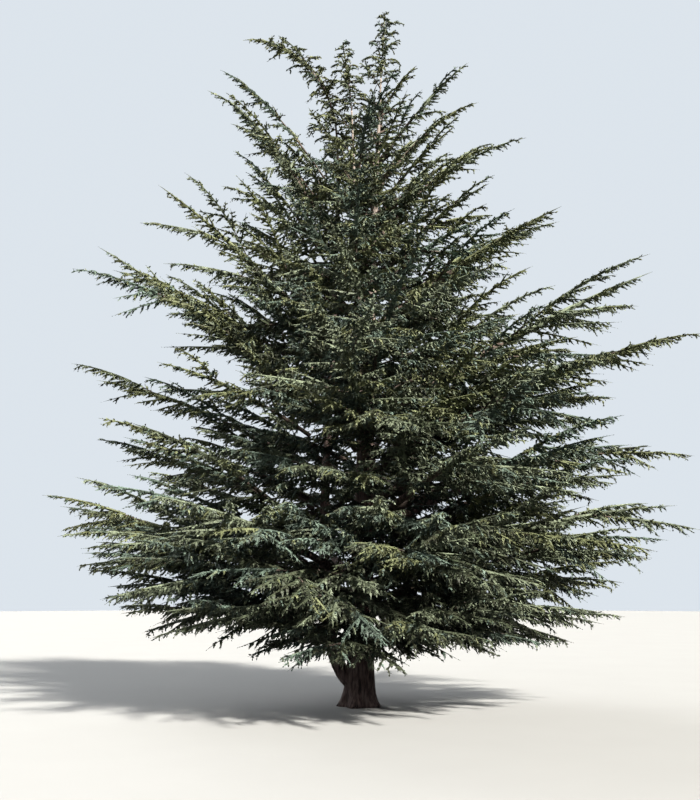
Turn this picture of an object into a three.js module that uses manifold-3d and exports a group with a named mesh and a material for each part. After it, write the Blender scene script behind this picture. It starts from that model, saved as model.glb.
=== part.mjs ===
// A blue cedar about 10 m tall: trunk, two leaders that fork from it, boughs and masses of foliage.
// Millimetres, +Z up. The origin is the centre of the flat cut at ground level.
// Bearings are in degrees about +Z: 0 is the tree's right side, 90 its back, 180 its left, 270 its front.
import * as THREE from "three";
import { mergeVertices } from "three/addons/utils/BufferGeometryUtils.js";
import Module from "manifold-3d";

const wasm = await Module();
wasm.setup();

// Clearances
const GAP = 0.3; // between a limb and what carries it
const CELL_MARGIN = 22; // how much nearer its own bough a twig or spray stays than any other
const LIMB_CLEARANCE = 14; // between foliage and the bark of any limb
const SIMPLER = 3; // how far small facets where twigs meet may move
const GROUND_CLEARANCE = 560; // the lowest that foliage hangs
const LINE_STEPS = 24; // how many straight steps stand for a bough where distances to it are taken

// Upright stems. A stem's points are the four of a cubic curve.
const STEMS = {
  trunk: {
    points: [[0, 0, 0], [40, 30, 3100], [190, 90, 6300], [335, 58, 9120]],
    foot: 192, tip: 11, taper: 1.1, sides: 14, rings: 12, horizontal: true,
  },
  leader_left: {
    points: [[-20, 0, 260], [-900, -20, 560], [-260, 40, 4300], [-320, 60, 8050]],
    foot: 104, tip: 19, taper: 1.0, sides: 8, rings: 9, parent: "trunk",
  },
  leader_front: {
    points: [[60, 35, 2950], [-60, -420, 3650], [0, -290, 5900], [-110, -215, 8450]],
    foot: 66, tip: 12, taper: 1.0, sides: 8, rings: 8, parent: "trunk",
  },
};
const ROOT_FLARE = { extra: 84, height: 190, lobes: 5, depth: 0.16 };

// A leader carries the boughs that set out near its own bearing, at heights well clear of its ends.
const LEADER_SIDES = [
  { name: "leader_left", toward: 180, within: 48 },
  { name: "leader_front", toward: 262, within: 44 },
];
const LEADER_CLEAR = { foot: 450, top: 110 };

// Tiers of boughs from the ground up, evenly spaced about the stems from a first bearing. A side gives
// reach from the crown's axis and height of the tip. lift bends the bough up from its chord, as shares
// of its length a third and two thirds along.
const TIERS = [
  { name: "skirt", base: 760, right: [3560, 1020], left: [3480, 1270], lift: [0.1, 0.09],
    count: 4, first: 12, bough: true },
  { name: "apron", base: 1420, right: [4420, 2680], left: [4780, 2760], lift: [0.06, 0.07],
    count: 6, first: -9, bough: true },
  { name: "waist", base: 2200, right: [4850, 3680], left: [4450, 3760], lift: [0.06, 0.08],
    count: 5, first: 12, bough: true },
  { name: "middle", base: 2950, right: [4550, 4980], left: [4180, 4620], lift: [0.06, 0.09],
    count: 4, first: -10, bough: true },
  { name: "shoulder", base: 3750, right: [4450, 6210], left: [3980, 6380], lift: [0.02, 0.05],
    count: 4, first: 9 },
  { name: "neck", base: 5000, right: [3120, 6850], left: [3140, 7330], lift: [0.06, 0.08],
    count: 5, first: -20 },
  { name: "upper", base: 6350, right: [2160, 8200], left: [2300, 8760], lift: [0.13, 0.18],
    count: 4, first: 10 },
];
const SEEDS = { crown: 20, bough: 977, spray: 31, end: 4001, endStep: 57 };
const CROWN_AXIS = [60, 0]; // where the crown's axis meets the ground
const DEPTH_REACH = 0.96; // reach of a bough to the front or back, as a share of the mean of the sides
const FRONT = { shorter: 0.15, lower: 0.3 }; // how much less a bough to the front reaches and rises
const BOUGH_END = 0.3; // how far along its bough a mass begins
const TOP_SLIMNESS = 0.6; // how long the arms of the masses at the tops are, beside those of the tiers
const SCATTER = { bearing: 5, stagger: 115, base: 40, reach: 0.05, tip: 260, sway: 0.05 };

// Masses near the top grow straight from a stem: the height where they leave it and where they end.
const TOP_MASSES = [
  { name: "plume_right", stem: "trunk", at: 7750, tip: [1690, -60, 9350], lift: [0.05, 0.08] },
  { name: "plume_back", stem: "trunk", at: 8000, tip: [480, 1080, 9300], lift: [0.08, 0.1] },
  { name: "spire_right", stem: "trunk", at: 8500, tip: [880, -120, 9240], lift: [0.1, 0.12] },
];

// Each upright stem ends in a mass that carries it on. straight is the share of its length for which it
// keeps to the stem's own way before it bends towards its tip, and lift bends it up as it arrives there.
const END_MASSES = [
  { name: "tip_tuft", stem: "trunk", tip: [398, 36, 10190], foot: 9, straight: 0.34, lift: 0 },
  { name: "plume_left", stem: "leader_left", tip: [-1810, 50, 9720], foot: 17, straight: 0.57, lift: 0.32 },
  { name: "spire_front", stem: "leader_front", tip: [-240, -330, 9480], foot: 10, straight: 0.34, lift: 0 },
];

// A bough's curve bends at two shares of its length. Its foot gets thicker with its reach, up to a share
// of its stem, and swells into a collar where it leaves the stem.
const BOUGH = {
  bends: [0.34, 0.68], least: 14, perReach: 0.0118, mostOfStem: 0.6, tip: 6, taper: 1.2,
  collar: 0.35, collarReach: 110, sides: 6, stretches: 3,
};
const STEM_OF_MASS = { sides: 5, stretches: 3, longStretches: 4, long: 3000 };

// Arms are the side boughs of a mass. They leave its stem by turns to the left and right, and bend
// forward and down towards their tips. along, forward and sag place the points of an arm's curve.
const ARM = {
  spacing: 850, first: 0.03, firstOnStem: 0.2, last: 0.58, most: 4, least: 3,
  yaw: 56, yawFalls: 22, yawScatter: 8, pitches: [14, -12, 6, -8], pitchScatter: 8,
  length: 0.72, lengthFalls: 0.3, lengthScatter: 0.1, foot: 0.62, tip: 4, sides: 3, stretches: 2,
  along: [0.36, 0.68, 0.88], forward: [0, 0.06, 0.2], sag: [0, 0, 0.06],
};
const ARM_TEST = { steps: 8, first: 2 }; // the points of an arm that have to lie in its mass's space
const LENGTH_TRIALS = [1, 0.85, 0.7, 0.55, 0.4];
const RISE_KEPT = 0.8; // the share of a limb's rise that its side shoots keep

// Sprays of needles: a plume ends each twig, and smaller sprigs leave its sides.
const SPRAY = {
  halfWidth: 0.23, thick: 0.05, sunk: 10, rolls: [38, -42, 14, -20], rollScatter: 12,
  plume: 1400, plumeShare: 0.74, plumeTeeth: 4, plumeOfStem: 0.42,
  sprig: 980, sprigShare: 0.5, sprigOfStem: 0.38, sprigTeeth: 2, sprigFrom: 1600,
  sprigYaw: 44, sprigFall: 10, sprigOnArm: 0.25, sprigsOnStem: [0.52, 0.32], sprigSpacing: 1500,
};
const TEETH = { middle: 0.27, first: 0.16, last: 0.62, cut: 0.035, notch: 0.42, root: 0.1 };

const BARK = { color: 0x5d4d44, roughness: 0.95, metalness: 0 };
const NEEDLES = { color: 0x3c5145, roughness: 0.8, metalness: 0 };

const rad = THREE.MathUtils.degToRad;
const vector = (point) => new THREE.Vector3(...point);
const UP = new THREE.Vector3(0, 0, 1);

// A repeatable stream of numbers from 0 to 1.
function seededRandom(seed) {
  let state = seed >>> 0;
  return () => {
    state = (Math.imul(state, 1664525) + 1013904223) >>> 0;
    return state / 4294967296;
  };
}

const scattered = (random, amount) => amount * (2 * random() - 1);

function cubic(points) {
  return new THREE.CubicBezierCurve3(...points.map(vector));
}

// The curve's parameter at a height, for a curve that only rises.
function atHeight(curve, height) {
  let [low, high] = [0, 1];
  for (let i = 0; i < 30; i++) {
    const middle = (low + high) / 2;
    if (curve.getPoint(middle).z < height) low = middle;
    else high = middle;
  }
  return (low + high) / 2;
}

// Heading and elevation of a direction, in radians.
function anglesOf(direction) {
  const level = Math.hypot(direction.x, direction.y);
  return { heading: Math.atan2(direction.y, direction.x), rise: Math.atan2(direction.z, level) };
}

function directionOf(heading, rise) {
  return new THREE.Vector3(
    Math.cos(rise) * Math.cos(heading), Math.cos(rise) * Math.sin(heading), Math.sin(rise));
}

// Side and lift axes across a limb, so that side, tangent and lift are right-handed.
function acrossAxes(tangent, reference) {
  const side = new THREE.Vector3().crossVectors(tangent, reference).normalize();
  const lift = new THREE.Vector3().crossVectors(side, tangent).normalize();
  return { side, lift };
}

function asSolid(geometry) {
  geometry.deleteAttribute("normal");
  geometry.deleteAttribute("uv");
  const merged = mergeVertices(geometry, 1e-3);
  return new wasm.Manifold(new wasm.Mesh({
    numProp: 3,
    vertProperties: new Float32Array(merged.attributes.position.array),
    triVerts: new Uint32Array(merged.index.array),
  }));
}

// The straight stretches that a limb is made of, from one parameter of its curve to another.
function stretchesOf(curve, from, to, count) {
  const knots = Array.from({ length: count + 1 }, (_, i) => from + ((to - from) * i) / count);
  const points = knots.map((t) => curve.getPoint(t));
  const at = (t) => {
    const place = Math.min(Math.max(((t - from) / (to - from)) * count, 0), count);
    const i = Math.min(Math.floor(place), count - 1);
    return points[i].clone().lerp(points[i + 1], place - i);
  };
  return { curve, knots, points, at };
}

// A round limb with a ring at every knot, flat at both ends or with its last point as a sharp tip.
// radiusAt takes a knot and an angle round the limb.
function limbSolid({ limb, radiusAt, sides, apex, horizontal, reference }) {
  const rings = limb.knots.length - 1;
  const shape = apex
    ? new THREE.ConeGeometry(1, 1, sides, rings + 1)
    : new THREE.CylinderGeometry(1, 1, 1, sides, rings);
  const position = shape.attributes.position;
  for (let i = 0; i < position.count; i++) {
    const [x, z] = [position.getX(i), position.getZ(i)];
    const ring = Math.round((position.getY(i) + 0.5) * (apex ? rings + 1 : rings));
    const centre = ring > rings ? apex.clone() : limb.points[ring].clone();
    const off = Math.hypot(x, z);
    if (off > 1e-6 && ring <= rings) {
      const t = limb.knots[ring];
      const tangent = horizontal ? UP : limb.curve.getTangent(t);
      const { side, lift } = acrossAxes(tangent, reference);
      const radius = radiusAt(t, Math.atan2(z, x));
      centre.addScaledVector(side, (x / off) * radius).addScaledVector(lift, (z / off) * radius);
    }
    position.setXYZ(i, centre.x, centre.y, centre.z);
  }
  return asSolid(shape);
}

// Stems

const RISE_REFERENCE = new THREE.Vector3(0, 1, 0);

function stemRadius(stem, t, angle, clearance = 0) {
  const plain = stem.tip + (stem.foot - stem.tip) * (1 - t) ** stem.taper;
  if (stem.parent) return plain + clearance;
  const height = stem.curve.getPoint(t).z;
  const flare = Math.exp(-height / ROOT_FLARE.height);
  const lobes = 1 + ROOT_FLARE.depth * flare * Math.cos(ROOT_FLARE.lobes * angle);
  return (plain + ROOT_FLARE.extra * flare) * lobes + clearance;
}

function stemSolid(stem, clearance = 0) {
  return limbSolid({
    limb: stretchesOf(stem.curve, 0, 1, stem.rings), sides: stem.sides,
    radiusAt: (t, angle) => stemRadius(stem, t, angle, clearance),
    horizontal: stem.horizontal, reference: RISE_REFERENCE,
  });
}

function makeStems() {
  for (const [name, stem] of Object.entries(STEMS)) {
    stem.name = name;
    stem.curve = cubic(stem.points);
  }
  for (const stem of Object.values(STEMS)) {
    stem.solid = stemSolid(stem);
    stem.clear = stemSolid(stem, GAP);
    if (stem.parent) stem.solid = stem.solid.subtract(STEMS[stem.parent].clear);
  }
}

// Boughs

// The stem that stands in the bough's way, or else the trunk.
function stemFor(bearing, height) {
  const inTheWay = LEADER_SIDES.find(({ name, toward, within }) => {
    const [foot, top] = [STEMS[name].points[0][2], STEMS[name].points[3][2]];
    const off = Math.abs(((bearing - toward + 540) % 360) - 180);
    return off < within && height > foot + LEADER_CLEAR.foot && height < top - LEADER_CLEAR.top;
  });
  return inTheWay ? STEMS[inTheWay.name] : STEMS.trunk;
}

function boughCurve(base, tip, lift, sway) {
  const span = tip.clone().sub(base);
  const length = span.length();
  const across = new THREE.Vector3().crossVectors(UP, span).normalize();
  const [first, second] = BOUGH.bends.map((share, k) => base.clone().addScaledVector(span, share)
    .addScaledVector(UP, lift[k] * length).addScaledVector(across, sway * length));
  return new THREE.CubicBezierCurve3(base, first, second, tip);
}

function boughRadius(bough, t) {
  const plain = BOUGH.tip + (bough.foot - BOUGH.tip) * (1 - t) ** BOUGH.taper;
  if (bough.carriedOn) return plain;
  return plain + BOUGH.collar * bough.foot * Math.exp(-(t * bough.span) / BOUGH.collarReach);
}

// Every bough, from its stem to the tip of its mass.
function planBoughs() {
  const boughs = [];
  const add = ({ name, stem, height, tip, lift, sway = 0, hasBough = false, slimness = 1 }) => {
    const along = atHeight(stem.curve, height);
    const base = stem.curve.getPoint(along);
    const span = tip.distanceTo(base);
    const most = BOUGH.mostOfStem * stemRadius(stem, along, 0);
    boughs.push({
      name, stem, hasBough, slimness, span, curve: boughCurve(base, tip, lift, sway),
      from: hasBough ? BOUGH_END : 0,
      foot: Math.min(BOUGH.least + BOUGH.perReach * span, most), seed: SEEDS.bough * (boughs.length + 1),
    });
  };
  const random = seededRandom(SEEDS.crown);
  for (const tier of TIERS) {
    for (let i = 0; i < tier.count; i++) {
      const spread = scattered(random, SCATTER.bearing);
      const bearing = (tier.first + (360 * i) / tier.count + spread + 360) % 360;
      const angle = rad(bearing);
      const [right, along] = [(1 + Math.cos(angle)) / 2, Math.sin(angle) ** 2];
      const front = Math.max(0, -Math.sin(angle));
      const mix = (k) => tier.left[k] + (tier.right[k] - tier.left[k]) * right;
      const level = 1 - along * (1 - DEPTH_REACH) + along * scattered(random, SCATTER.reach);
      const reach = mix(0) * level * (1 - FRONT.shorter * front);
      const rise = (mix(1) - tier.base) * (1 - FRONT.lower * front);
      const tip = new THREE.Vector3(
        CROWN_AXIS[0] + reach * Math.cos(angle),
        CROWN_AXIS[1] + reach * Math.sin(angle),
        tier.base + rise + along * scattered(random, SCATTER.tip));
      const stagger = i % 2 ? -SCATTER.stagger : SCATTER.stagger;
      const height = tier.base + stagger + scattered(random, SCATTER.base);
      const sway = scattered(random, SCATTER.sway);
      const [name, stem] = [`${tier.name}_${i + 1}`, stemFor(bearing, height)];
      add({ name, stem, height, tip, lift: tier.lift, sway, hasBough: tier.bough });
    }
  }
  for (const { name, stem, at, tip, lift } of TOP_MASSES) {
    add({ name, stem: STEMS[stem], height: at, tip: vector(tip), lift, slimness: TOP_SLIMNESS });
  }
  return boughs;
}

// The masses that carry on the stems start a gap beyond their tips.
function planEndMasses() {
  return END_MASSES.map(({ name, stem: stemName, tip, foot, straight, lift }, i) => {
    const stem = STEMS[stemName];
    const along = stem.horizontal ? UP : stem.curve.getTangent(1);
    const base = stem.curve.getPoint(1).addScaledVector(along, GAP);
    const top = vector(tip);
    const span = top.distanceTo(base);
    const leaving = base.clone().addScaledVector(stem.curve.getTangent(1), straight * span);
    const arriving = base.clone().lerp(top, BOUGH.bends[1]).addScaledVector(UP, lift * span);
    const curve = new THREE.CubicBezierCurve3(base, leaving, arriving, top);
    const seed = SEEDS.end + SEEDS.endStep * i;
    return { name, carriedOn: stem, curve, from: 0, span, foot, seed, slimness: TOP_SLIMNESS };
  });
}

function boughSolid(bough) {
  const whole = limbSolid({
    limb: stretchesOf(bough.curve, 0, bough.from, BOUGH.stretches), sides: BOUGH.sides,
    radiusAt: (t) => boughRadius(bough, t), reference: UP,
  });
  return whole.subtract(bough.stem.clear);
}

// Space that a mass keeps to

// Distance from a point to a curve's sampled line.
function distanceToLine(point, line) {
  const [onLine, segment] = [new THREE.Vector3(), new THREE.Line3()];
  let least = Infinity;
  for (let i = 1; i < line.length; i++) {
    segment.set(line[i - 1], line[i]);
    segment.closestPointToPoint(point, true, onLine);
    least = Math.min(least, onLine.distanceToSquared(point));
  }
  return Math.sqrt(least);
}

// A test of whether points lie in a mass's space: nearer its own bough than any other, and off all bark.
function spaceOf(bough, boughs) {
  return (points) => points.every((point) => {
    if (point.z < GROUND_CLEARANCE) return false;
    const own = distanceToLine(point, bough.line);
    const crossing = boughs.some((other) =>
      other !== bough && distanceToLine(point, other.line) < own + CELL_MARGIN);
    return !crossing && offBark(point, boughs);
  });
}

function offBark(point, boughs) {
  const offStems = Object.values(STEMS).every((stem) => {
    const t = Math.min(1, Math.max(0, atHeight(stem.curve, point.z)));
    return stem.curve.getPoint(t).distanceTo(point) > stemRadius(stem, t, 0) + LIMB_CLEARANCE;
  });
  return offStems && boughs.every((bough) =>
    !bough.hasBough || distanceToLine(point, bough.woodLine) > bough.foot + LIMB_CLEARANCE);
}

// Foliage

function armCurve(bough, t, yaw, pitch, length) {
  const start = bough.limb.at(t);
  const { heading, rise } = anglesOf(bough.curve.getTangent(t));
  const out = directionOf(heading + yaw, RISE_KEPT * rise + pitch);
  const ahead = directionOf(heading, 0);
  const later = ARM.along.map((along, k) => start.clone().addScaledVector(out, along * length)
    .addScaledVector(ahead, ARM.forward[k] * length).addScaledVector(UP, -ARM.sag[k] * length));
  return new THREE.CubicBezierCurve3(start, ...later);
}

// The arms of a mass: side boughs to either side in turn, cut shorter where they would leave its space.
function planArms(bough, inSpace) {
  const random = seededRandom(bough.seed);
  const count = Math.min(ARM.most, Math.max(ARM.least, Math.round(bough.length / ARM.spacing)));
  const first = bough.hasBough ? ARM.first : ARM.firstOnStem;
  const arms = [];
  let side = random() < 0.5 ? 1 : -1;
  for (let k = 0; k < count; k++) {
    const share = k / (count - 1);
    const t = bough.from + (1 - bough.from) * (first + (ARM.last - first) * share);
    const yaw = side * rad(ARM.yaw - ARM.yawFalls * share + scattered(random, ARM.yawScatter));
    const pitch = rad(ARM.pitches[k % ARM.pitches.length] + scattered(random, ARM.pitchScatter));
    const lengthShare = ARM.length - ARM.lengthFalls * share;
    const full = bough.length * bough.slimness * lengthShare * (1 + scattered(random, ARM.lengthScatter));
    const arm = LENGTH_TRIALS.map((trial) => full * trial)
      .map((length) => ({ length, side, curve: armCurve(bough, t, yaw, pitch, length) }))
      .find(({ curve }) => inSpace(curve.getPoints(ARM_TEST.steps).slice(ARM_TEST.first)));
    side = -side;
    if (!arm) continue;
    const end = 1 - Math.min(SPRAY.plumeShare, SPRAY.plume / arm.length);
    arm.limb = stretchesOf(arm.curve, 0, end, ARM.stretches);
    arm.foot = ARM.foot * boughRadius(bough, t);
    arms.push(arm);
  }
  return arms;
}

// A spray's outline in shares of its length and half width. Its teeth point forward, on the left and the
// right by turns, and get shorter towards the tip.
function toothedOutline(teeth) {
  const sides = { [-1]: [[0, -TEETH.root]], [1]: [[0, TEETH.root]] };
  for (let k = 0; k < teeth; k++) {
    const beyond = TEETH.first + ((TEETH.last - TEETH.first) * k) / (teeth - 1);
    const side = k % 2 ? 1 : -1;
    const reach = side * (1 - beyond);
    sides[side].push([TEETH.middle + beyond, reach]);
    sides[side].push([TEETH.middle + beyond - TEETH.cut, TEETH.notch * reach]);
  }
  return [...sides[-1], [1, 0], ...sides[1].reverse()];
}

function sprayPoints(spray) {
  const { side } = acrossAxes(spray.direction, spray.normal);
  return spray.outline.map(([along, across]) => spray.root.clone()
    .addScaledVector(spray.direction, along * spray.length)
    .addScaledVector(side, across * spray.flip * SPRAY.halfWidth * spray.length));
}

// The spray is thickest at its middle and sharp all round, as two shallow pyramids on its outline.
function spraySolid(spray) {
  const outline = sprayPoints(spray);
  if (spray.flip < 0) outline.reverse();
  const shape = new THREE.SphereGeometry(1, outline.length, 2);
  const { lift } = acrossAxes(spray.direction, spray.normal);
  const middle = spray.root.clone().addScaledVector(spray.direction, TEETH.middle * spray.length);
  const position = shape.attributes.position;
  for (let i = 0; i < position.count; i++) {
    const [x, y, z] = [position.getX(i), position.getY(i), position.getZ(i)];
    const point = middle.clone();
    if (Math.abs(y) > 0.5) {
      point.addScaledVector(lift, (Math.sign(y) * SPRAY.thick * spray.length) / 2);
    } else {
      const turn = (Math.atan2(z, x) / (2 * Math.PI) + 1) * outline.length;
      point.copy(outline[Math.round(turn) % outline.length]);
    }
    position.setXYZ(i, point.x, point.y, point.z);
  }
  return asSolid(shape);
}

function sprayFrom(root, direction, length, teeth, roll) {
  const normal = UP.clone().applyAxisAngle(direction, rad(roll));
  const sunk = root.clone().addScaledVector(direction, -SPRAY.sunk);
  const flip = roll < 0 ? -1 : 1;
  return { root: sunk, direction, normal, length, outline: toothedOutline(teeth), flip };
}

// A sprig that leaves a twig at a parameter, to one side.
function sprigAt(limb, t, side, length, roll) {
  const { heading, rise } = anglesOf(limb.curve.getTangent(t));
  const falls = RISE_KEPT * rise - rad(SPRAY.sprigFall);
  const direction = directionOf(heading + side * rad(SPRAY.sprigYaw), falls);
  return sprayFrom(limb.at(t), direction, length, SPRAY.sprigTeeth, roll);
}

// The plume that a twig ends in.
function plumeAt(limb, roll) {
  const root = limb.points.at(-1);
  const direction = limb.curve.getPoint(1).sub(root);
  const length = direction.length() + SPRAY.sunk;
  return sprayFrom(root, direction.normalize(), length, SPRAY.plumeTeeth, roll);
}

function planSprays(bough, arms, inSpace) {
  const random = seededRandom(bough.seed + SEEDS.spray);
  const sprays = [];
  const nextRoll = () =>
    SPRAY.rolls[sprays.length % SPRAY.rolls.length] + scattered(random, SPRAY.rollScatter);
  const addIfInside = (spray) => {
    if (inSpace(sprayPoints(spray).slice(1, -1))) sprays.push(spray);
  };
  for (const arm of arms) {
    addIfInside(plumeAt(arm.limb, nextRoll()));
    if (arm.length < SPRAY.sprigFrom) continue;
    const sprig = Math.min(SPRAY.sprig, SPRAY.sprigShare * arm.length);
    addIfInside(sprigAt(arm.limb, SPRAY.sprigOnArm, arm.side, sprig, nextRoll()));
  }
  sprays.push(plumeAt(bough.limb, nextRoll()));
  const onStem = Math.min(SPRAY.sprigsOnStem.length, Math.floor(bough.length / SPRAY.sprigSpacing));
  SPRAY.sprigsOnStem.slice(0, onStem).forEach((share, i) => {
    const t = bough.from + share * (1 - bough.from);
    const sprig = Math.min(SPRAY.sprig, SPRAY.sprigOfStem * bough.length);
    addIfInside(sprigAt(bough.limb, t, i % 2 ? -1 : 1, sprig, nextRoll()));
  });
  return sprays;
}

// A twig that ends inside the thickest part of its plume.
function twigSolid(limb, radiusAt, sides, options) {
  const root = limb.points.at(-1);
  const apex = root.clone().lerp(limb.curve.getPoint(1), TEETH.middle);
  return limbSolid({ limb, radiusAt, sides, apex, reference: UP, ...options });
}

function massSolid(bough, boughs) {
  const inSpace = spaceOf(bough, boughs);
  const gap = bough.hasBough ? GAP / bough.span : 0;
  const end = 1 - Math.min(SPRAY.plumeOfStem * (1 - bough.from), SPRAY.plume / bough.span);
  bough.length = bough.span * (1 - bough.from);
  const { sides, stretches, longStretches, long } = STEM_OF_MASS;
  const count = bough.length > long ? longStretches : stretches;
  bough.limb = stretchesOf(bough.curve, bough.from + gap, end, count);
  const arms = planArms(bough, inSpace);
  const sprays = planSprays(bough, arms, inSpace);
  const onStem = bough.carriedOn;
  const upright = onStem ? { horizontal: onStem.horizontal, reference: RISE_REFERENCE } : {};
  const stem = twigSolid(bough.limb, (t) => boughRadius(bough, t), sides, upright);
  const twigs = arms.map((arm) =>
    twigSolid(arm.limb, (t) => ARM.tip + (arm.foot - ARM.tip) * (1 - t), ARM.sides));
  let solid = wasm.Manifold.union([stem, ...twigs, ...sprays.map(spraySolid)]).simplify(SIMPLER);
  if (bough.stem && !bough.hasBough) solid = solid.subtract(bough.stem.clear);
  return solid.decompose().sort((a, b) => b.volume() - a.volume())[0];
}

// Meshes

const BARK_MATERIAL = new THREE.MeshStandardMaterial(BARK);
const NEEDLE_MATERIAL = new THREE.MeshStandardMaterial(NEEDLES);

// A named mesh whose geometry is told from its own foot, placed there.
function meshOf(name, solid, foot, material) {
  const { vertProperties, triVerts } = solid.getMesh();
  const geometry = new THREE.BufferGeometry()
    .setAttribute("position", new THREE.BufferAttribute(vertProperties, 3))
    .setIndex(new THREE.BufferAttribute(triVerts, 1))
    .translate(-foot.x, -foot.y, -foot.z);
  geometry.computeVertexNormals();
  const mesh = new THREE.Mesh(geometry, material);
  mesh.name = name;
  mesh.position.copy(foot);
  return mesh;
}

function makeCedar() {
  makeStems();
  const boughs = [...planBoughs(), ...planEndMasses()];
  for (const bough of boughs) {
    bough.line = bough.curve.getPoints(LINE_STEPS);
    bough.woodLine = bough.line.slice(0, Math.ceil(bough.from * LINE_STEPS) + 1);
  }
  const [wood, foliage, cedar] = [new THREE.Group(), new THREE.Group(), new THREE.Group()];
  for (const stem of Object.values(STEMS)) {
    wood.add(meshOf(stem.name, stem.solid, stem.curve.getPoint(0), BARK_MATERIAL));
  }
  for (const bough of boughs) {
    const foot = bough.curve.getPoint(0);
    if (bough.hasBough) {
      wood.add(meshOf(`bough_${bough.name}`, boughSolid(bough), foot, BARK_MATERIAL));
    }
    foliage.add(meshOf(`foliage_${bough.name}`, massSolid(bough, boughs), foot, NEEDLE_MATERIAL));
  }
  cedar.add(wood, foliage);
  return cedar;
}

export default makeCedar();
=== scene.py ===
"""A blue cedar about ten metres tall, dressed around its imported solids.

The stems, boughs and arms follow the solids' own seeded rule. Laterals, shoots and needles then grow on
from them within the same reach. Units are metres, +Z is up and the origin is the middle of the flat cut
at ground level. Bearings are in degrees about +Z: 0 is the tree's right side, 90 its back.
"""

import logging
import math
from dataclasses import dataclass
from enum import Enum
from typing import Callable

import bmesh
import bpy
import numpy as np
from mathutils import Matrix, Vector, noise


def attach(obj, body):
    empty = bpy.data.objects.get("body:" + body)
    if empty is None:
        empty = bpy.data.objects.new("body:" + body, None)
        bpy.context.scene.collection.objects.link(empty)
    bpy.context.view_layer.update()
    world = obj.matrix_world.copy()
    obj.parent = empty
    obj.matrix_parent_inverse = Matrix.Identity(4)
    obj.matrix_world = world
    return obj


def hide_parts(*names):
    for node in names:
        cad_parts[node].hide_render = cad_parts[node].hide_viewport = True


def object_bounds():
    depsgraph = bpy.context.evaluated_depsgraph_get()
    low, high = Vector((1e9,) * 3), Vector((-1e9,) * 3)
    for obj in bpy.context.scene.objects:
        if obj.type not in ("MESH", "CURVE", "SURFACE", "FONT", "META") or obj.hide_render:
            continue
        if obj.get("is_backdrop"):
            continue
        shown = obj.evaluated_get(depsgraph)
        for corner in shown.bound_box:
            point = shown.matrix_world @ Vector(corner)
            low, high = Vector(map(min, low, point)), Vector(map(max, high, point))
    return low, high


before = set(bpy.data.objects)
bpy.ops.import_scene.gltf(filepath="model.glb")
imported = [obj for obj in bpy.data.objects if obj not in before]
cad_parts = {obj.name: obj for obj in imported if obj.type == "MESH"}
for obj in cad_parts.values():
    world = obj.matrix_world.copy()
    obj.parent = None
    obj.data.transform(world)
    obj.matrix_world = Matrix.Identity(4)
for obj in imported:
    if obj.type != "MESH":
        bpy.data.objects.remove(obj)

LOG = logging.getLogger("cedar")
UP = np.array([0.0, 0.0, 1.0])
BACK = np.array([0.0, 1.0, 0.0])
NUDGE = 1e-6 * BACK
LEAST_LENGTH = 1e-12
GOLDEN_ANGLE = math.pi * (3.0 - math.sqrt(5.0))

Colour = tuple[float, float, float]
Point = tuple[float, float, float]
Amount = float | np.ndarray


def blend(first: Amount, second: Amount, share: Amount) -> Amount:
    """What lies a share of the way from one amount or point to another."""
    return first + (second - first) * share


def turned(ahead: np.ndarray, beside_it: np.ndarray, angle: np.ndarray) -> np.ndarray:
    """Directions turned by an angle in radians towards others that are square to them."""
    return ahead * np.cos(angle)[..., None] + beside_it * np.sin(angle)[..., None]


def unit(vectors: np.ndarray) -> np.ndarray:
    """Vectors of length one in the same directions, from one vector or rows of them."""
    return vectors / np.maximum(np.linalg.norm(vectors, axis=-1, keepdims=True), LEAST_LENGTH)


def beside(tangents: np.ndarray) -> tuple[np.ndarray, np.ndarray]:
    """The level direction to the right of each tangent, and the one square to both."""
    across = unit(np.cross(tangents, UP) + NUDGE)
    return across, np.cross(across, tangents)


def shared_out(counts: np.ndarray) -> tuple[np.ndarray, np.ndarray]:
    """The parent of each thing, and its place in that parent's row, from each row's count."""
    which = np.repeat(np.arange(len(counts)), counts)
    return which, np.arange(len(which)) - np.repeat(np.cumsum(counts) - counts, counts)


def linked(name: str, data: bpy.types.ID) -> bpy.types.Object:
    """Makes an object of a mesh, light or camera and puts it in the scene.

    Args:
        name: the object's name.
        data: the mesh, light or camera.

    Returns:
        The object.
    """
    made = bpy.data.objects.new(name, data)
    bpy.context.scene.collection.objects.link(made)
    return made


def modelled(name: str, bm: bmesh.types.BMesh) -> bpy.types.Object:
    """Makes an object of a bmesh, which is freed.

    Args:
        name: the name of the object and of its mesh.
        bm: the bmesh.

    Returns:
        The object, in the scene.
    """
    mesh = bpy.data.meshes.new(name)
    bm.to_mesh(mesh)
    bm.free()
    return linked(name, mesh)


class Stream:
    """A repeatable stream of numbers from 0 to 1, the same as the solids' own."""

    FACTOR, STEP, STATES = 1664525, 1013904223, 2**32

    def __init__(self, seed: int) -> None:
        """Starts the stream at a seed."""
        self.state = seed % self.STATES

    def draw(self) -> float:
        """The next number."""
        self.state = (self.state * self.FACTOR + self.STEP) % self.STATES
        return self.state / self.STATES

    def scatter(self, amount: float) -> float:
        """The next number, spread evenly from minus the amount to the amount."""
        return amount * (2.0 * self.draw() - 1.0)


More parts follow.
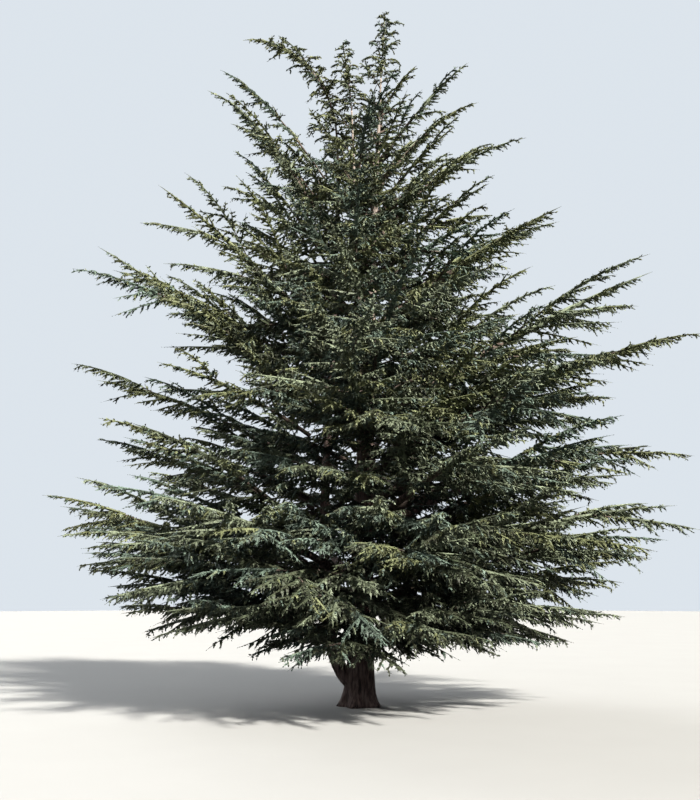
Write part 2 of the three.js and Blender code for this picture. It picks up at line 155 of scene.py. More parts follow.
class Curves:
    """A batch of cubic curves, each from its four points."""

    def __init__(self, points: np.ndarray) -> None:
        """Keeps the points, an array of curve by point by coordinate."""
        self.points = np.asarray(points, float).reshape(-1, 4, 3)

    def __len__(self) -> int:
        """How many curves there are."""
        return len(self.points)

    def at(self, which: int | np.ndarray, t: Amount) -> np.ndarray:
        """Points on some of the curves.

        Args:
            which: the curve that each point is on.
            t: each point's parameter, from 0 to 1.

        Returns:
            The points, one a row.
        """
        a, b, c, d = np.moveaxis(self.points[which], -2, 0)
        t = np.asarray(t, float)[..., None]
        s = 1.0 - t
        return s**3 * a + 3 * s * s * t * b + 3 * s * t * t * c + t**3 * d

    def tangent(self, which: int | np.ndarray, t: Amount) -> np.ndarray:
        """Directions of some of the curves.

        Args:
            which: the curve that each direction is of.
            t: its parameter, from 0 to 1.

        Returns:
            The directions, one a row.
        """
        a, b, c, d = np.moveaxis(self.points[which], -2, 0)
        t = np.asarray(t, float)[..., None]
        s = 1.0 - t
        return unit(s * s * (b - a) + 2 * s * t * (c - b) + t * t * (d - c))

    def cut(self, end: float) -> "Curves":
        """The same curves, cut short.

        Args:
            end: the parameter as far as which each is kept.

        Returns:
            The shorter curves.
        """
        a, b, c, d = np.moveaxis(self.points, 1, 0)
        ab, bc, cd = blend(a, b, end), blend(b, c, end), blend(c, d, end)
        abc, bcd = blend(ab, bc, end), blend(bc, cd, end)
        return Curves(np.stack([a, ab, abc, blend(abc, bcd, end)], axis=1))

    def lengths(self, steps: int = 8) -> np.ndarray:
        """Measures the curves.

        Args:
            steps: how many straight steps each is measured along.

        Returns:
            Each curve's length.
        """
        t = np.linspace(0.0, 1.0, steps + 1)
        which = np.arange(len(self))[:, None]
        line = self.at(which, np.broadcast_to(t, (len(self), steps + 1)))
        return np.linalg.norm(np.diff(line, axis=1), axis=2).sum(axis=1)

    def line(self, which: int, steps: int) -> np.ndarray:
        """One curve's points at even parameters."""
        t = np.linspace(0.0, 1.0, steps + 1)
        return self.at(np.full(steps + 1, which), t)


@dataclass
class Stem:
    """An upright stem: the trunk or a leader."""

    name: str
    points: tuple[Point, Point, Point, Point]
    foot: float
    tip: float
    taper: float = 1.0
    flared: bool = False
    sides: int = 48
    ring_step: float = 0.045
    relief: float = 0.006

    FLARE_EXTRA, FLARE_HEIGHT, FLARE_LOBES, FLARE_DEPTH = 0.084, 0.19, 5, 0.16
    HALVINGS = 30

    def __post_init__(self) -> None:
        """Makes the stem's curve."""
        self.curve = Curves(np.array(self.points))

    def at(self, t: float) -> np.ndarray:
        """The point on the axis at a parameter."""
        return self.curve.at(0, t)

    def at_height(self, height: float) -> float:
        """The parameter at a height, on an axis that only rises.

        Args:
            height: metres above the ground.

        Returns:
            The parameter, from 0 to 1.
        """
        low, high = 0.0, 1.0
        for _ in range(self.HALVINGS):
            middle = (low + high) / 2
            if self.at(middle)[2] < height:
                low = middle
            else:
                high = middle
        return (low + high) / 2

    def radius(self, t: Amount, angle: Amount = 0.0) -> np.ndarray:
        """How thick the stem is.

        Args:
            t: the parameter along its axis.
            angle: the angle about its axis, which matters only at the lobes of the root flare.

        Returns:
            The radius.
        """
        plain = blend(self.tip, self.foot, (1.0 - t) ** self.taper)
        if not self.flared:
            return plain
        height = self.curve.at(np.zeros(np.shape(t), int), t)[..., 2]
        flare = np.exp(-height / self.FLARE_HEIGHT)
        lobes = 1.0 + self.FLARE_DEPTH * flare * np.cos(self.FLARE_LOBES * angle)
        return (plain + self.FLARE_EXTRA * flare) * lobes


@dataclass(frozen=True)
class Tier:
    """Boughs at one level. A side gives reach from the crown's axis and height of the tip."""

    name: str
    base: float
    right: tuple[float, float]
    left: tuple[float, float]
    lift: tuple[float, float]
    count: int
    first: float
    bough: bool = False


@dataclass
class Bough:
    """A bough from its stem to the tip of the mass that it carries."""

    name: str
    curve: Curves
    start: float
    foot: float
    seed: int
    stem: Stem | None = None
    has_bough: bool = False
    slimness: float = 1.0
    infill: bool = False

    LINE_STEPS = 24
    TIP, TAPER = 0.006, 1.2
    COLLAR, COLLAR_REACH = 0.35, 0.11

    def __post_init__(self) -> None:
        """Measures the bough."""
        self.span = float(np.linalg.norm(self.curve.points[0, 3] - self.curve.points[0, 0]))
        self.length = self.span * (1.0 - self.start)
        self.line = self.curve.line(0, self.LINE_STEPS)
        self.wood_line = self.line[: math.ceil(self.start * self.LINE_STEPS) + 1]

    def radius(self, t: Amount) -> np.ndarray:
        """How thick the bough is, with a collar where it leaves a stem.

        Args:
            t: the parameter along it.

        Returns:
            The radius.
        """
        plain = blend(self.TIP, self.foot, (1.0 - t) ** self.TAPER)
        if self.stem is None:
            return plain
        return plain + self.COLLAR * self.foot * np.exp(-(t * self.span) / self.COLLAR_REACH)


@dataclass(frozen=True)
class Infill:
    """Smaller boughs between the tiers, and single ones at the sides, given by height of foot and by tip.

    least and most are shares of the way to the crown's outline.
    """

    count: int = 102
    seed: int = 5
    low: float = 0.8
    high: float = 7.3
    top: tuple[float, float] = (1.5, 9.0)
    crowding: float = 1.3
    least: float = 0.55
    most: float = 0.92
    bearing: float = 16.0
    frontward: float = 0.35
    rise: float = 0.22
    lowest: float = 0.68
    side_less: float = 0.11
    front_lower: float = 1.05
    lift: tuple[float, float] = (0.08, 0.09)
    start: float = 0.1
    slimness: float = 0.9
    high_lift: tuple[float, float] = (0.12, 0.16)
    high_slimness: float = 0.4
    low_sides: tuple[tuple[float, Point], ...] = (
        (1.2, (-3.82, -0.41, 2.0)), (1.05, (-3.69, 0.59, 1.55)), (1.3, (-3.16, -1.37, 1.9)),
        (1.6, (-4.09, 0.14, 2.35)), (0.95, (-2.45, -1.82, 1.25)), (1.15, (3.8, 0.26, 1.6)),
        (1.3, (3.96, -0.62, 2.0)), (1.45, (4.07, 1.07, 2.25)), (1.0, (3.03, -1.2, 1.2)),
        (0.86, (1.0, -0.95, 0.72)), (0.8, (1.05, 0.45, 0.74)), (0.95, (1.7, -0.6, 0.86)),
        (0.84, (-1.35, -0.9, 0.76)))
    high_sides: tuple[tuple[float, Point], ...] = (
        (7.2, (-2.12, -0.2, 9.14)), (6.75, (-2.02, 0.4, 8.56)), (7.3, (1.82, -0.12, 8.64)),
        (4.3, (-2.6, -0.15, 5.36)), (3.25, (3.93, -0.35, 4.62)), (2.9, (3.78, 0.25, 4.2)))


@dataclass(frozen=True)
class Spire:
    """Short boughs all round the upper part of a stem, and shorter ones up to the very top."""

    spacing: float = 0.1
    first: float = 0.6
    last: float = 0.995
    foot_length: float = 0.98
    tip_length: float = 0.4
    top_spacing: float = 0.032
    top_length: float = 0.1
    top_rise: float = 0.0
    top_lift: tuple[float, float] = (0.16, 0.2)
    length_scatter: float = 0.3
    rise: float = 0.3
    rise_scatter: float = 0.16
    turn_scatter: float = 0.3
    lift: tuple[float, float] = (0.1, 0.12)
    foot: float = 0.006
    seed: int = 71
    slimness: float = 0.7


class Crown:
    """The plan of stems and boughs, by the same rule and seeds as the solids."""

    SEED, BOUGH_SEED, END_SEED, END_SEED_STEP = 20, 977, 4001, 57
    AXIS = (0.06, 0.0)
    DEPTH_REACH = 0.96
    FRONT_SHORTER, FRONT_LOWER = 0.15, 0.3
    BOUGH_END = 0.3
    TOP_SLIMNESS = 0.6
    BEARING, STAGGER, BASE, REACH, TIP, SWAY = 5.0, 0.115, 0.04, 0.05, 0.26, 0.05
    BENDS = (0.34, 0.68)
    LEAST, PER_REACH, MOST_OF_STEM = 0.014, 0.0118, 0.6
    GAP = 0.0003
    LEADER_SIDES = (("leader_left", 180.0, 48.0), ("leader_front", 262.0, 44.0))
    LEADER_CLEAR = (0.45, 0.11)
    TIERS = (
        Tier("skirt", 0.76, (3.56, 1.02), (3.48, 1.27), (0.1, 0.09), 4, 12, True),
        Tier("apron", 1.42, (4.42, 2.68), (4.78, 2.76), (0.06, 0.07), 6, -9, True),
        Tier("waist", 2.2, (4.85, 3.68), (4.45, 3.76), (0.06, 0.08), 5, 12, True),
        Tier("middle", 2.95, (4.55, 4.98), (4.18, 4.62), (0.06, 0.09), 4, -10, True),
        Tier("shoulder", 3.75, (4.45, 6.21), (3.98, 6.38), (0.02, 0.05), 4, 9),
        Tier("neck", 5.0, (3.12, 6.85), (3.14, 7.33), (0.06, 0.08), 5, -20),
        Tier("upper", 6.35, (2.16, 8.2), (2.3, 8.76), (0.13, 0.18), 4, 10),
    )
    TOP_MASSES = (
        ("plume_right", "trunk", 7.75, (1.69, -0.06, 9.35), (0.05, 0.08)),
        ("plume_back", "trunk", 8.0, (0.48, 1.08, 9.3), (0.08, 0.1)),
        ("spire_right", "trunk", 8.5, (0.88, -0.12, 9.24), (0.1, 0.12)),
    )
    END_MASSES = (
        ("tip_tuft", "trunk", (0.398, 0.036, 10.19), 0.009, 0.34, 0.0),
        ("plume_left", "leader_left", (-1.81, 0.05, 9.72), 0.017, 0.57, 0.32),
        ("spire_front", "leader_front", (-0.24, -0.33, 9.48), 0.01, 0.34, 0.0),
    )

    INFILL = Infill()
    SPIRE = Spire()
    SPIRE_TOPS = {"tip_tuft": 1.0, "spire_front": 1.0, "plume_left": 0.72}
    NOD_FROM, NOD = 0.8, (0.33, 0.0, 0.0)

    def __init__(self) -> None:
        """Plans the stems and then the boughs."""
        self.stems = {
            "trunk": Stem("trunk", ((0, 0, 0), (0.04, 0.03, 3.1), (0.19, 0.09, 6.3), (0.335, 0.058, 9.12)),
                          foot=0.192, tip=0.011, taper=1.1, flared=True, sides=96, relief=0.009),
            "leader_left": Stem("leader_left", ((-0.02, 0, 0.26), (-0.9, -0.02, 0.56),
                                                (-0.26, 0.04, 4.3), (-0.32, 0.06, 8.05)),
                                foot=0.104, tip=0.019),
            "leader_front": Stem("leader_front", ((0.06, 0.035, 2.95), (-0.06, -0.42, 3.65),
                                                  (0, -0.29, 5.9), (-0.11, -0.215, 8.45)),
                                 foot=0.066, tip=0.012, sides=36, relief=0.004),
        }
        self.boughs: list[Bough] = []
        self.plan_tiers()
        self.plan_tops()
        self.plan_ends()
        self.plan_infill()
        self.plan_spires()

    def place(self, angle: float, reach: float, height: float) -> np.ndarray:
        """The place at a bearing in radians, a reach from the crown's axis and a height."""
        x, y = self.AXIS
        return np.array([x + reach * math.cos(angle), y + reach * math.sin(angle), height])

    def stem_for(self, bearing: float, height: float) -> Stem:
        """The stem that stands in a bough's way, or else the trunk.

        Args:
            bearing: where the bough points, in degrees.
            height: where it sets out.

        Returns:
            The stem that carries it.
        """
        for name, toward, within in self.LEADER_SIDES:
            stem = self.stems[name]
            foot, top = stem.points[0][2], stem.points[3][2]
            off = abs((bearing - toward + 540.0) % 360.0 - 180.0)
            if off < within and foot + self.LEADER_CLEAR[0] < height < top - self.LEADER_CLEAR[1]:
                return stem
        return self.stems["trunk"]

    def add(self, name: str, stem: Stem, height: float, tip: np.ndarray, lift: tuple[float, float],
            sway: float = 0.0, has_bough: bool = False, slimness: float = 1.0) -> None:
        """Plans one bough.

        Args:
            name: its name.
            stem: what carries it.
            height: where it sets out from the stem.
            tip: where its mass ends.
            lift: how far it bends up at a third and two thirds, as shares of its length.
            sway: how far it bends sideways, likewise.
            has_bough: whether its first stretch is bare wood.
            slimness: how long its arms are, beside those of the tiers.
        """
        along = stem.at_height(height)
        base = stem.at(along)
        span = tip - base
        length = float(np.linalg.norm(span))
        across = unit(np.cross(UP, span))
        bends = [base + span * share + UP * lift[k] * length + across * sway * length
                 for k, share in enumerate(self.BENDS)]
        foot = min(self.LEAST + self.PER_REACH * length, self.MOST_OF_STEM * float(stem.radius(along)))
        self.boughs.append(Bough(
            name, Curves(np.array([base, *bends, tip])), self.BOUGH_END if has_bough else 0.0, foot,
            self.BOUGH_SEED * (len(self.boughs) + 1), stem, has_bough, slimness))

    def plan_tiers(self) -> None:
        """Plans the boughs of every tier."""
        stream = Stream(self.SEED)
        for tier in self.TIERS:
            for i in range(tier.count):
                spread = stream.scatter(self.BEARING)
                bearing = (tier.first + 360.0 * i / tier.count + spread + 360.0) % 360.0
                angle = math.radians(bearing)
                right, along = (1.0 + math.cos(angle)) / 2.0, math.sin(angle) ** 2
                front = max(0.0, -math.sin(angle))
                level = 1.0 - along * (1.0 - self.DEPTH_REACH) + along * stream.scatter(self.REACH)
                reach = blend(tier.left[0], tier.right[0], right) * level
                reach *= 1.0 - self.FRONT_SHORTER * front
                rise = blend(tier.left[1], tier.right[1], right) - tier.base
                rise *= 1.0 - self.FRONT_LOWER * front
                tip = self.place(angle, reach, tier.base + rise + along * stream.scatter(self.TIP))
                stagger = -self.STAGGER if i % 2 else self.STAGGER
                height = tier.base + stagger + stream.scatter(self.BASE)
                sway = stream.scatter(self.SWAY)
                stem = self.stem_for(bearing, height)
                self.add(f"{tier.name}_{i + 1}", stem, height, tip, tier.lift, sway, tier.bough)

    def plan_tops(self) -> None:
        """Plans the masses that leave a stem near the top."""
        for name, stem, height, tip, lift in self.TOP_MASSES:
            self.add(name, self.stems[stem], height, np.array(tip), lift, slimness=self.TOP_SLIMNESS)

    def plan_ends(self) -> None:
        """Plans the masses that carry on the stems."""
        for i, (name, stem_name, tip, foot, straight, lift) in enumerate(self.END_MASSES):
            stem = self.stems[stem_name]
            leaving = stem.curve.tangent(0, 1.0)
            base = stem.at(1.0) + (UP if stem.flared else leaving) * self.GAP
            top = np.array(tip)
            span = float(np.linalg.norm(top - base))
            arriving = blend(base, top, self.BENDS[1]) + UP * lift * span
            curve = Curves(np.array([base, base + leaving * straight * span, arriving, top]))
            seed = self.END_SEED + self.END_SEED_STEP * i
            self.boughs.append(Bough(name, curve, 0.0, foot, seed, slimness=self.TOP_SLIMNESS))

    def outline(self, height: float) -> tuple[tuple[float, float], tuple[float, float]]:
        """The crown's outline beside a height, between the tips of the tiers.

        Args:
            height: metres above the ground.

        Returns:
            The reach and the height of the tip, on the left and on the right.
        """
        bases = [tier.base for tier in self.TIERS] + [self.INFILL.high]
        left = [tier.left for tier in self.TIERS] + [self.INFILL.top]
        right = [tier.right for tier in self.TIERS] + [self.INFILL.top]
        return tuple(tuple(np.interp(height, bases, [tip[k] for tip in side]) for k in (0, 1))
                     for side in (left, right))

    def plan_infill(self) -> None:
        """Plans the boughs between the tiers, inside the crown's outline, and those at the sides."""
        rule, stream = self.INFILL, Stream(self.INFILL.seed)
        for k in range(rule.count):
            height = blend(rule.low, rule.high, ((k + 0.5) / rule.count) ** rule.crowding)
            even = k * GOLDEN_ANGLE + math.radians(stream.scatter(rule.bearing))
            angle = even - rule.frontward * math.cos(even)
            right = (1.0 + math.cos(angle)) / 2.0
            (left_reach, left_rise), (right_reach, right_rise) = self.outline(height)
            front = max(0.0, -math.sin(angle))
            share = blend(rule.least, rule.most, math.sqrt(stream.draw()))
            share *= 1.0 - rule.side_less * abs(math.cos(angle))
            reach = blend(left_reach, right_reach, right) * share
            reach *= 1.0 - self.FRONT_SHORTER * front
            rise = (blend(left_rise, right_rise, right) - height) * share
            rise = rise * (1.0 - rule.front_lower * front) + stream.scatter(rule.rise)
            tip = self.place(angle, reach, max(height + rise, rule.lowest))
            stem = self.stem_for(math.degrees(angle) % 360.0, height)
            self.add_infill(f"infill_{k + 1}", stem, height, tip, rule.lift, rule.slimness, stream)
        for name, sides, lift, slimness in (
                ("low_side", rule.low_sides, rule.lift, rule.slimness),
                ("high_side", rule.high_sides, rule.high_lift, rule.high_slimness)):
            for k, (height, tip) in enumerate(sides):
                stem = self.stem_for(math.degrees(math.atan2(tip[1], tip[0])) % 360.0, height)
                self.add_infill(f"{name}_{k + 1}", stem, height, np.array(tip), lift, slimness, stream)

    def add_infill(self, name: str, stem: Stem, height: float, tip: np.ndarray, lift: tuple[float, float],
                   slimness: float, stream: Stream) -> None:
        """Plans one bough that the solids don't have.

        Args:
            name: its name.
            stem: what carries it.
            height: where it sets out from the stem.
            tip: where its sprays end.
            lift: how far it bends up at a third and two thirds, as shares of its length.
            slimness: how long its arms are, beside those of the tiers.
            stream: where its sway comes from.
        """
        self.add(name, stem, height, tip, lift, stream.scatter(self.SWAY), slimness=slimness)
        self.boughs[-1].start = self.INFILL.start
        self.boughs[-1].infill = True

    def plan_spires(self) -> None:
        """Plans the short boughs that clothe the upper part of each stem and the upright masses on top."""
        rule, stream = self.SPIRE, Stream(self.SPIRE.seed)
        for stem in self.stems.values():
            first, last = stem.at(rule.first)[2], stem.at(rule.last)[2]
            count = round((last - first) / rule.spacing)
            for k in range(count):
                share = (k + stream.draw()) / count
                height = blend(first, last, share)
                length = blend(rule.foot_length, rule.tip_length, share)
                tip = stem.at(stem.at_height(height)) + self.spire_arm(k, length, rule.rise, stream)
                self.add(f"{stem.name}_spire_{k + 1}", stem, height, tip, rule.lift, slimness=rule.slimness)
                self.boughs[-1].infill = True
        tops = {b.name: b for b in self.boughs if b.name in self.SPIRE_TOPS}
        for name, end in self.SPIRE_TOPS.items():
            top = tops[name]
            count = round(end * top.span / rule.top_spacing)
            for k in range(count):
                share = end * (k + stream.draw()) / count
                length = blend(rule.tip_length, rule.top_length, share)
                out = self.spire_arm(k, length, rule.top_rise, stream)
                self.add_twig(f"{top.name}_spire_{k + 1}", top.curve.at(0, share), out)
        self.add_twig("nodding_twig", tops["tip_tuft"].curve.at(0, self.NOD_FROM), np.array(self.NOD))

    def add_twig(self, name: str, base: np.ndarray, out: np.ndarray) -> None:
        """Plans a bough without arms, which arches and hangs.

        Args:
            name: its name.
            base: where it sets out.
            out: the step from there to its tip.
        """
        rule, length = self.SPIRE, float(np.linalg.norm(out))
        points = [base + out * share + UP * lift * length
                  for share, lift in zip((0.0, *self.BENDS, 1.0), (0.0, *rule.top_lift, 0.0))]
        self.boughs.append(Bough(name, Curves(np.array(points)), 0.0, rule.foot,
                                 self.BOUGH_SEED * (len(self.boughs) + 1), infill=True))

    def spire_arm(self, number: int, length: float, rise: float, stream: Stream) -> np.ndarray:
        """How far one of a spire's boughs reaches.

        Args:
            number: its place in the spiral up the stem.
            length: its length before scatter.
            rise: how far it rises for each metre outward, before scatter.
            stream: where its scatter comes from.

        Returns:
            The step from its foot to its tip.
        """
        length *= 1.0 + stream.scatter(self.SPIRE.length_scatter)
        angle = number * GOLDEN_ANGLE + stream.scatter(self.SPIRE.turn_scatter)
        rise += stream.scatter(self.SPIRE.rise_scatter)
        return length * unit(np.array([math.cos(angle), math.sin(angle), rise]))


class Space:
    """The space that each mass keeps to: nearer its own bough than any other, and off all bark."""

    MARGIN, CLEARANCE, LOWEST = 0.022, 0.014, 0.56

    def __init__(self, crown: Crown) -> None:
        """Keeps the crown that the space is shared out in."""
        self.crown = crown
        self.lines = np.array([b.line for b in crown.boughs if not b.infill])

    @staticmethod
    def distances(points: np.ndarray, lines: np.ndarray) -> np.ndarray:
        """How far points are from lines of straight steps.

        Args:
            points: the points, one a row.
            lines: one line, or an array of them.

        Returns:
            An array of point by line.
        """
        lines = lines.reshape(-1, lines.shape[-2], 3)
        start, step = lines[:, :-1], np.diff(lines, axis=1)
        off = points[:, None, None] - start
        share = np.clip((off * step).sum(-1) / (step * step).sum(-1), 0.0, 1.0)
        return np.linalg.norm(off - share[..., None] * step, axis=-1).min(axis=2)

    def holds(self, index: int, points: np.ndarray) -> bool:
        """Whether all of the points lie in a mass's space.

        Args:
            index: the mass's place in the crown's list.
            points: the points, one a row.

        Returns:
            True if they do.
        """
        if points[:, 2].min() < self.LOWEST:
            return False
        away = self.distances(points, self.lines)
        own = away[:, index].copy()
        away[:, index] = np.inf
        if (away.min(axis=1) < own + self.MARGIN).any():
            return False
        return all(self.off_stem(stem, points) for stem in self.crown.stems.values()) and all(
            self.distances(points, b.wood_line).min() > b.foot + self.CLEARANCE
            for b in self.crown.boughs if b.has_bough)

    def off_stem(self, stem: Stem, points: np.ndarray) -> bool:
        """Whether all of the points are clear of a stem's bark.

        Args:
            stem: the stem.
            points: the points, one a row.

        Returns:
            True if they are.
        """
        for point in points:
            t = stem.at_height(point[2])
            if np.linalg.norm(stem.at(t) - point) <= stem.radius(t) + self.CLEARANCE:
                return False
        return True


@dataclass(frozen=True)
class ArmRule:
    """How the side boughs of a mass leave its stem, the same as in the solids."""

    spacing: float = 0.85
    first: float = 0.03
    first_on_stem: float = 0.2
    last: float = 0.58
    most: int = 4
    least: int = 3
    yaw: float = 56.0
    yaw_falls: float = 22.0
    yaw_scatter: float = 8.0
    pitches: tuple[float, ...] = (14.0, -12.0, 6.0, -8.0)
    pitch_scatter: float = 8.0
    length: float = 0.72
    length_falls: float = 0.3
    length_scatter: float = 0.1
    foot: float = 0.62
    tip: float = 0.004
    along: tuple[float, ...] = (0.36, 0.68, 0.88)
    forward: tuple[float, ...] = (0.0, 0.06, 0.2)
    sag: tuple[float, ...] = (0.0, 0.0, 0.06)
    rise_kept: float = 0.8
    trials: tuple[float, ...] = (1.0, 0.85, 0.7, 0.55, 0.4)
    test_steps: int = 8
    test_first: int = 2
    shortest: float = 0.45

    def curve(self, bough: Bough, t: float, yaw: float, pitch: float, length: float) -> np.ndarray:
        """The four points of an arm.

        Args:
            bough: what it leaves.
            t: where it leaves.
            yaw: how far it turns to the side, in radians.
            pitch: how far it turns up, in radians.
            length: how long it is.

        Returns:
            The points, one a row.
        """
        start = bough.curve.at(0, t)
        x, y, z = bough.curve.tangent(0, t)
        heading, rise = math.atan2(y, x), math.atan2(z, math.hypot(x, y))
        turn, climb = heading + yaw, self.rise_kept * rise + pitch
        level = math.cos(climb)
        out = np.array([level * math.cos(turn), level * math.sin(turn), math.sin(climb)])
        ahead = np.array([math.cos(heading), math.sin(heading), 0.0])
        later = [start + length * (a * out + f * ahead - s * UP)
                 for a, f, s in zip(self.along, self.forward, self.sag)]
        return np.array([start, *later])

    def plan(self, index: int, bough: Bough, space: Space) -> list[tuple[np.ndarray, float]]:
        """The arms of one mass, each cut shorter where it would leave the mass's space.

        Args:
            index: the mass's place in the crown's list.
            bough: the mass's bough.
            space: the shared-out space.

        Returns:
            The four points and the foot radius of each arm.
        """
        if bough.infill and bough.length < self.shortest:
            return []
        stream = Stream(bough.seed)
        count = min(self.most, max(self.least, math.floor(bough.length / self.spacing + 0.5)))
        first = self.first if bough.has_bough else self.first_on_stem
        arms = []
        side = 1.0 if stream.draw() < 0.5 else -1.0
        for k in range(count):
            share = k / (count - 1)
            t = blend(bough.start, 1.0, blend(first, self.last, share))
            yaw = side * math.radians(self.yaw - self.yaw_falls * share + stream.scatter(self.yaw_scatter))
            pitch = math.radians(self.pitches[k % len(self.pitches)] + stream.scatter(self.pitch_scatter))
            full = bough.length * bough.slimness * (self.length - self.length_falls * share)
            full *= 1.0 + stream.scatter(self.length_scatter)
            side = -side
            for trial in self.trials:
                points = self.curve(bough, t, yaw, pitch, full * trial)
                line = Curves(points).line(0, self.test_steps)[self.test_first:]
                if bough.infill or space.holds(index, line):
                    arms.append((points, self.foot * float(bough.radius(t))))
                    break
        return arms


@dataclass
class Limbs:
    """A batch of limbs of one order, with their thickness and the mass and tint that they belong to."""

    curves: Curves
    foot: np.ndarray
    tip: np.ndarray
    mass: np.ndarray
    tint: np.ndarray
    start: np.ndarray

    @staticmethod
    def joined(batches: list["Limbs"]) -> "Limbs":
        """Joins several batches end to end.

        Args:
            batches: the batches.

        Returns:
            One batch.
        """
        curves = Curves(np.concatenate([b.curves.points for b in batches]))
        rows = zip(*((b.foot, b.tip, b.mass, b.tint, b.start) for b in batches))
        return Limbs(curves, *(np.concatenate(row) for row in rows))

    def chosen(self, keep: np.ndarray) -> "Limbs":
        """The limbs that a mask picks."""
        rows = (self.foot, self.tip, self.mass, self.tint, self.start)
        return Limbs(Curves(self.curves.points[keep]), *(row[keep] for row in rows))

    def of(self, masses: np.ndarray, tint: "Tint | None" = None) -> "Limbs":
        """The limbs of some masses, and only those of a tint where one is given."""
        own = np.isin(self.mass, masses)
        return self.chosen(own if tint is None else own & (self.tint == tint.value))


@dataclass(frozen=True)
class ShootRule:
    """How one order of side shoots leaves its parents. Angles are in degrees."""

    spacing: float
    first: float
    last: float
    yaw: float
    yaw_falls: float
    hang: float
    hang_scatter: float
    share: float
    least: float
    most: float
    sag: float
    forward: float
    foot: float
    tip: float = 0.0012
    angle_scatter: float = 7.0
    length_scatter: float = 0.25
    steep: float = 0.8
    upright_yaw: float = 22.0
    upright_sag: float = 2.2
    tapering: float = 0.92
    below: float = 0.2
    fewer: float = 0.0
    short: float = 0.4
    slender: float = 0.55
    slender_heights: tuple[float, float] = (5.2, 8.8)
    even: tuple[float, float] = (0.1, 0.9)
    most_of_parent: float = 0.8

    def grow(self, parents: Limbs, random: np.random.Generator) -> Limbs:
        """Side shoots on every parent, to the left and right by turns.

        Args:
            parents: the limbs that they leave.
            random: where their scatter comes from.

        Returns:
            The shoots.
        """
        lengths = parents.curves.lengths()
        first, last = (blend(parents.start, 1.0, share) for share in (self.first, self.last))
        counts = np.maximum(1, ((last - first) * lengths / self.spacing).round().astype(int))
        which, order = shared_out(counts)
        n = len(which)
        place = (order + random.uniform(*self.even, n)) / counts[which]
        t = blend(first[which], last[which], place)
        tangent = parents.curves.tangent(which, t)
        across, lift = beside(tangent)
        side = np.where((order + which) % 2, 1.0, -1.0)
        hang = -self.hang + random.normal(0.0, self.hang_scatter, n)
        upright = np.abs(tangent[:, 2]) > self.steep
        hang = np.radians(np.where(upright, random.uniform(-180.0, 180.0, n), hang))
        yaw = self.yaw - self.yaw_falls * place + random.normal(0.0, self.angle_scatter, n)
        yaw = np.radians(yaw + np.where(upright, self.upright_yaw, 0.0))
        out = turned(tangent, turned(across * side[:, None], lift, hang), yaw)
        left = lengths[which] * (1.0 - t) ** self.tapering
        slender = np.interp(parents.curves.at(which, t)[:, 2], self.slender_heights, (1.0, self.slender))
        full = np.where(random.random(n) < self.fewer * place, self.short, 1.0)
        length = np.clip(self.share * left * full, self.least, self.most) * slender
        length *= 1.0 - self.below * np.where(upright, 0.0, np.sin(hang))
        length *= 1.0 + random.uniform(-self.length_scatter, self.length_scatter, n)
        sag = self.sag * np.where(upright, self.upright_sag, 1.0)
        bend = tangent * self.forward - UP * sag[:, None]
        return self.limbs(parents, which, t, out, bend, length, random)

    def limbs(self, parents: Limbs, which: np.ndarray, t: np.ndarray, out: np.ndarray, bend: np.ndarray,
              length: np.ndarray, random: np.random.Generator) -> Limbs:
        """The batch of shoots that leave their parents at given places.

        Args:
            parents: the limbs that they leave.
            which: the parent of each shoot.
            t: where it leaves its parent.
            out: the direction in which it sets out.
            bend: how it bends away from that, as a share of its length.
            length: its length.
            random: where the scatter of tints comes from.

        Returns:
            The shoots.
        """
        size = length[:, None]
        base = parents.curves.at(which, t)
        points = np.stack([base, base + size * out / 3, base + size * (2 * out + bend) / 3,
                           base + size * (out + bend)], axis=1)
        midway = blend(parents.foot, parents.tip, 0.5)[which]
        foot = np.minimum(self.foot * np.sqrt(length / self.most), self.most_of_parent * midway)
        strays = random.random(len(which)) < Tints.STRAYS
        tint = np.where(strays, Tints.deal(base, random), parents.tint[which])
        return Limbs(Curves(points), foot, np.full(len(which), self.tip), parents.mass[which], tint,
                     np.zeros(len(which)))


class Tint(Enum):
    """The colours that sprays of needles come in, from the crown's inside out. The darkest is painted shade
    for sprays inside the crown and low down, and the olive is painted sunlight for sprays far out and high
    up.
    """

    # Painted shade: the darkest tint, dealt to sprays inside the crown and low down.
    PAINTED_SHADE = 0
    BLUE = 1
    GREY = 2
    # Painted sunlight: the olive tint, dealt to sprays far out and high up.
    PAINTED_LIGHT_OLIVE = 3


class Tints:
    """How tints are dealt out over the crown, spray by spray, with painted shade towards the inside and
    foot of the crown and painted sunlight towards its outside and top.
    """

    STRAYS = 0.3
    SHARES = (0.26, 0.24, 0.32, 0.18)
    PATCH, DRIFT = 0.9, 0.35
    # How far painted shade and painted sunlight shift the tints with reach from the axis and with height.
    OUTWARD, OUTWARD_LIMITS = 0.28, (-2.0, 1.0)
    HEIGHT, EVEN_AT = 0.45, 3.6

    @classmethod
    def deal(cls, places: np.ndarray, random: np.random.Generator) -> np.ndarray:
        """A tint for each place, in loose patches, darker inside and low down as painted shade and more
        often olive far out and high up as painted sunlight.

        Args:
            places: the places, one a row.
            random: where the scatter comes from.

        Returns:
            The tints' numbers.
        """
        drift = np.array([noise.noise(Vector(place) / cls.PATCH) for place in places])
        # Painted light: the nearer the axis and the ground, the darker the tint (painted shade); the
        # farther out and higher, the more often olive (painted sunlight).
        outward = np.hypot(places[:, 0], places[:, 1]) + cls.HEIGHT * places[:, 2] - cls.EVEN_AT
        level = random.random(len(places)) + cls.DRIFT * drift
        level += cls.OUTWARD * np.clip(outward, *cls.OUTWARD_LIMITS)
        return np.searchsorted(np.cumsum(cls.SHARES)[:-1], np.clip(level, 0.0, 0.999))


